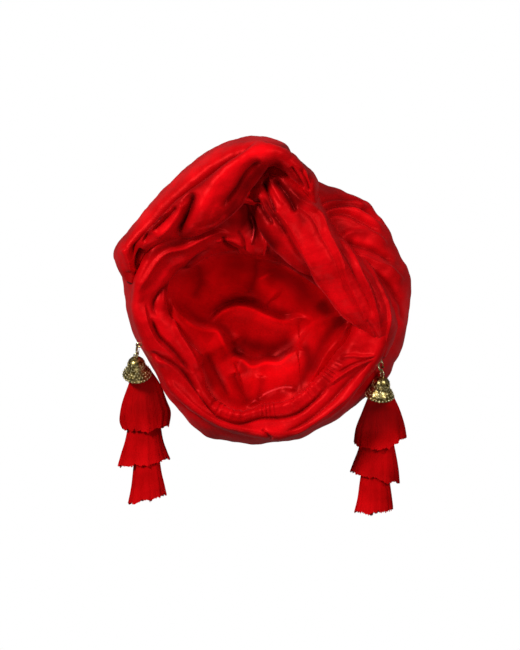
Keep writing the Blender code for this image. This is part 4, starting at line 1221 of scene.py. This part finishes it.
@dataclass
class Fittings:
    """One side's ring, clasp, lever, link and bell cap.

    Attributes:
        place: Where they hang.
        bright: The worn gilt finish.
        dull: The tarnished gilt finish.
    """

    place: Hanging
    bright: bpy.types.Material
    dull: bpy.types.Material

    CLASP_LENGTH = 0.0100
    CLASP_WIDTH = 0.0066
    CAP_RADIUS = 0.0125
    CAP_HEIGHT = 0.0190
    PROFILE = (
        (0.02, -0.01), (0.16, 0.00), (0.38, 0.05), (0.55, 0.17), (0.63, 0.33), (0.645, 0.50),
        (0.70, 0.585), (0.82, 0.69), (0.95, 0.80), (1.02, 0.93), (1.01, 1.00), (0.93, 0.98),
        (0.84, 0.80), (0.66, 0.64), (0.54, 0.45), (0.30, 0.20), (0.02, 0.16),
    )
    RING_RADIUS = 0.0026
    RING_WIRE = 0.00055
    LINK_RADIUS = 0.0020
    LINK_WIRE = 0.00050
    EYE_RADIUS = 0.0014
    EYE_WIRE = 0.00052
    PIN_RADIUS = 0.0009
    PIN_HALF = 0.0011
    LOOP_RADIUS = 0.0016
    LOOP_WIRE = 0.0005
    ROSETTES = 10
    ROSETTE_RADIUS = 0.00165
    ROSETTE_BEAD = 0.00042
    ROSETTE_BEADS = 9

    def build(self) -> None:
        """Build the five fittings."""
        along, up = np.array(self.place.along), np.array(self.place.up)
        across = np.cross(along, up)
        self.ring("ring", np.array(self.place.ring), along, up, self.RING_RADIUS, self.RING_WIRE)
        self.ring("link", np.array(self.place.link), along, up, self.LINK_RADIUS, self.LINK_WIRE)
        self.clasp(np.array(self.place.clasp), along, up, across)
        self.cap(np.array(self.place.cap), np.array(self.place.cap_along), up)

    def add(self, piece: bpy.types.Object, made: bpy.types.Material, body: str, *nodes: str) -> None:
        """Dress a piece and let it ride a body.

        Args:
            piece: The object.
            made: Its material.
            body: The CAD body that it moves with.
            nodes: The CAD nodes that it stands for.
        """
        piece.data.materials.append(made)
        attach(piece, body)
        if nodes:
            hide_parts(*nodes)

    def circle(self, centre: np.ndarray, first: np.ndarray, second: np.ndarray, radius: float,
               count: int = 36) -> np.ndarray:
        """Return points round a circle."""
        turn = np.linspace(0.0, 2.0 * math.pi, count, endpoint=False)[:, None]
        return centre + radius * (first * np.cos(turn) + second * np.sin(turn))

    def ring(self, kind: str, centre: np.ndarray, first: np.ndarray, second: np.ndarray, radius: float,
             thick: float) -> None:
        """Build a round ring.

        Args:
            kind: ring or link.
            centre: Its centre.
            first: One direction in its plane.
            second: The other.
            radius: Its radius to the wire's middle.
            thick: The wire's radius.
        """
        node = f"{kind}_{self.place.side}"
        piece = wire(f"{node}_wire", self.circle(centre, first, second, radius), thick, True)
        self.add(piece, self.bright, "turban", node)

    def oval(self, start: float, end: float, steps: int) -> np.ndarray:
        """Return points on the clasp's oval, X across and Y along, between two angles in degrees."""
        turn = np.radians(np.linspace(start, end, steps))
        half = self.CLASP_LENGTH / 2
        return np.stack([self.CLASP_WIDTH / 2 * np.cos(turn), half - half * np.sin(turn)], axis=-1)

    def clasp(self, top: np.ndarray, along: np.ndarray, up: np.ndarray, across: np.ndarray) -> None:
        """Build the lobster claw and its lever.

        Args:
            top: The top of the clasp.
            along: The way it hangs.
            up: The way out of its face.
            across: The way across it.
        """
        def spots(flat: np.ndarray) -> np.ndarray:
            """Return points of the clasp's plane in the row frame."""
            return top + flat[:, :1] * across + flat[:, 1:2] * along

        claw = self.oval(-108.0, 122.0, 60)
        swell = 0.00078 + 0.00034 * np.sin(np.linspace(0.15, 1.0, 60) * math.pi) ** 2
        body = wire(f"clasp_{self.place.side}_claw", spots(claw), swell, False, 18)
        self.add(body, self.bright, "turban", f"clasp_{self.place.side}")
        eye = top + along * (self.CLASP_LENGTH + self.EYE_RADIUS)
        round_eye = self.circle(eye, across, along, self.EYE_RADIUS)
        base = wire(f"clasp_{self.place.side}_eye", round_eye, self.EYE_WIRE, True)
        self.add(base, self.bright, "turban")
        lever = self.oval(222.0, 138.0, 34)
        thin = np.linspace(0.00058, 0.00036, 34)
        arm = wire(f"lever_{self.place.side}_arm", spots(lever), thin, False)
        self.add(arm, self.bright, f"{self.place.side}_lever", f"lever_{self.place.side}")
        root = spots(self.oval(222.0, 223.0, 2))[0]
        course = np.stack([root + up * h for h in np.linspace(-self.PIN_HALF, self.PIN_HALF, 8)])
        pin = wire(f"clasp_{self.place.side}_pin", course + along * 1e-7, self.PIN_RADIUS, False)
        self.add(pin, self.dull, "turban")

    def cap(self, top: np.ndarray, axis: np.ndarray, near: np.ndarray) -> None:
        """Build the bell cap: its shell, loop, beading and pierced dome.

        Args:
            top: The cap's top.
            axis: The way to its mouth.
            near: A direction that isn't along the axis.
        """
        first = near - axis * (near @ axis)
        first /= np.linalg.norm(first)
        second = np.cross(axis, first)
        outline = spline(np.array(self.PROFILE), 90)
        turn = np.linspace(0.0, 2.0 * math.pi, 132, endpoint=False)[:, None]
        scallop = smoothstep((outline[None, :, 1] - 0.72) / 0.2)
        wave = np.abs(np.sin(turn * 11.0))
        reach = outline[None, :, 0] * self.CAP_RADIUS * (1.0 + 0.022 * scallop * wave)
        depth = outline[None, :, 1] * self.CAP_HEIGHT + 0.0007 * scallop * wave
        radial = np.cos(turn)[..., None] * first + np.sin(turn)[..., None] * second
        points = top + reach[..., None] * radial + depth[..., None] * axis
        shell = grid_object(f"cap_{self.place.side}_shell", points, around=True, across=False)
        self.add(shell, self.dull, "turban", f"cap_{self.place.side}")
        hoop = self.circle(top - axis * self.LOOP_RADIUS, first, axis, self.LOOP_RADIUS)
        loop = wire(f"cap_{self.place.side}_loop", hoop, self.LOOP_WIRE, True)
        self.add(loop, self.bright, "turban")
        beads = bmesh.new()
        rows = ((0.24, 0.10, 9, 0.00060), (0.585, 0.215, 16, 0.00050), (0.665, 0.585, 20, 0.00066),
                (0.80, 0.68, 22, 0.00080), (0.93, 0.79, 24, 0.00072), (1.03, 0.95, 26, 0.00088))
        for share, rise, count, size in rows:
            self.beading(beads, top, axis, (first, second), share, rise, count, size)
        for k in range(self.ROSETTES):
            self.rosette(beads, top, axis, (first, second), 2.0 * math.pi * (k + 0.5) / self.ROSETTES)
        for face in beads.faces:
            face.smooth = True
        self.add(body_object(f"cap_{self.place.side}_beading", beads), self.bright, "turban")

    def beading(self, body: bmesh.types.BMesh, top: np.ndarray, axis: np.ndarray,
                plane: tuple[np.ndarray, np.ndarray], share: float, rise: float, count: int,
                size: float) -> None:
        """Add a row of beads round the cap.

        Args:
            body: The bmesh to add to.
            top: The cap's top.
            axis: The way to its mouth.
            plane: Two directions across it.
            share: The row's radius, as a share of the cap's.
            rise: Its place along the cap, as a share.
            count: How many beads.
            size: A bead's radius.
        """
        for k in range(count):
            turn = 2.0 * math.pi * k / count
            out = plane[0] * math.cos(turn) + plane[1] * math.sin(turn)
            spot = top + out * share * self.CAP_RADIUS + axis * rise * self.CAP_HEIGHT
            bmesh.ops.create_uvsphere(body, u_segments=10, v_segments=6, radius=size,
                                      matrix=Matrix.Translation(Vector(spot)))

    def rosette(self, body: bmesh.types.BMesh, top: np.ndarray, axis: np.ndarray,
                plane: tuple[np.ndarray, np.ndarray], turn: float) -> None:
        """Add a ring of wire round one pierced hole of the dome.

        Args:
            body: The bmesh to add to.
            top: The cap's top.
            axis: The way to its mouth.
            plane: Two directions across it.
            turn: The hole's angle round the cap.
        """
        out = plane[0] * math.cos(turn) + plane[1] * math.sin(turn)
        side = np.cross(axis, out)
        spot = top + out * 0.64 * self.CAP_RADIUS + axis * 0.40 * self.CAP_HEIGHT
        for k in range(self.ROSETTE_BEADS):
            angle = 2.0 * math.pi * k / self.ROSETTE_BEADS
            near = spot + (side * math.cos(angle) + axis * math.sin(angle)) * self.ROSETTE_RADIUS
            bmesh.ops.create_uvsphere(body, u_segments=8, v_segments=5, radius=self.ROSETTE_BEAD,
                                      matrix=Matrix.Translation(Vector(near)))


@dataclass
class Studio:
    """The camera, the white ground and the lights."""

    def build(self) -> None:
        """Set the scene up."""
        scene = bpy.context.scene
        camera = bpy.data.objects.new("camera", bpy.data.cameras.new("camera"))
        camera.data.sensor_width = 36.0
        camera.data.sensor_fit = "HORIZONTAL"
        camera.data.lens = 36.0 * PIXEL_DEPTH / (WIDE * PIXEL)
        camera.location = (EYE_X, 0.0, EYE_HEIGHT)
        scene.collection.objects.link(camera)
        scene.camera = camera
        scene.view_settings.view_transform = "Standard"
        self.ground()
        self.light("key", (-0.95, 0.75, 1.15), 0.30, 26.0)
        self.light("fill", (0.85, 0.55, 1.10), 0.4, 9.0)
        self.light("low", (-0.10, -1.20, 0.80), 0.5, 3.5)
        world = bpy.data.worlds.new("world")
        world.use_nodes = True
        back = world.node_tree.nodes["Background"]
        back.inputs["Color"].default_value = (1.0, 1.0, 1.0, 1.0)
        back.inputs["Strength"].default_value = 0.10
        scene.world = world

    def ground(self) -> None:
        """Lay the white ground."""
        body = bmesh.new()
        bmesh.ops.create_grid(body, x_segments=1, y_segments=1, size=6.0)
        ground = body_object("ground", body)
        ground.location.z = -0.0005
        white = bpy.data.materials.new("ground")
        white.use_nodes = True
        tree = white.node_tree
        tree.nodes.remove(tree.nodes["Principled BSDF"])
        glow = tree.nodes.new("ShaderNodeEmission")
        glow.inputs["Strength"].default_value = 1.0
        tree.links.new(glow.outputs["Emission"], tree.nodes["Material Output"].inputs["Surface"])
        ground.data.materials.append(white)
        ground.visible_diffuse = False
        ground.visible_glossy = False

    def light(self, name: str, place: tuple[float, float, float], size: float, power: float) -> None:
        """Hang one soft light that faces the turban.

        Args:
            name: The light's name.
            place: Where it hangs.
            size: Its width in metres.
            power: Its power in watts.
        """
        lamp = bpy.data.objects.new(name, bpy.data.lights.new(name, "AREA"))
        lamp.data.size = size
        lamp.data.energy = power
        lamp.location = place
        lamp.rotation_euler = (-Vector(place)).to_track_quat("-Z", "Y").to_euler()
        bpy.context.scene.collection.objects.link(lamp)


def finish_piece(piece: bpy.types.Object, made: bpy.types.Material, slot: Slot, *nodes: str) -> None:
    """Give a piece its material, let it ride the turban body and hide the CAD nodes that it stands for.

    Args:
        piece: The object.
        made: Its material.
        slot: Its slot in the record. Not used.
        nodes: The CAD nodes that it stands for.
    """
    piece.data.materials.clear()
    piece.data.materials.append(made)
    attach(piece, "turban")
    if nodes:
        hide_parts(*nodes)


def main() -> None:
    """Build the turban's pieces in order and set the studio up."""
    logging.basicConfig(level=logging.INFO, format="%(name)s: %(message)s")
    nap = nap_group()
    velvet, lining, silk = (cloth.material(nap) for cloth in (VELVET, LINING, SILK))
    gilt, tarnish = GILT.material(), TARNISH.material()
    crown = Crown().build()
    finish_piece(crown, velvet, Slot.VELVET, "crown")
    inside = Lining().build()
    finish_piece(inside, lining, Slot.VELVET, "lining")
    band = Band().build()
    finish_piece(band, velvet, Slot.VELVET, "rim_band")
    right = Wrap("wound_right", RIGHT_STATIONS, RIGHT_FOLDS).build()
    finish_piece(right, velvet, Slot.VELVET, "right_wrap")
    left = Wrap("wound_left", LEFT_STATIONS, LEFT_FOLDS).build()
    finish_piece(left, velvet, Slot.VELVET, "left_wrap")
    for tassel in TASSELS:
        for tier in tassel.build():
            finish_piece(tier, silk, Slot.SILK, f"tassel_{tassel.side}")
    for place in HANGINGS:
        Fittings(place, gilt, tarnish).build()
    Studio().build()


if __name__ == "__main__":
    main()
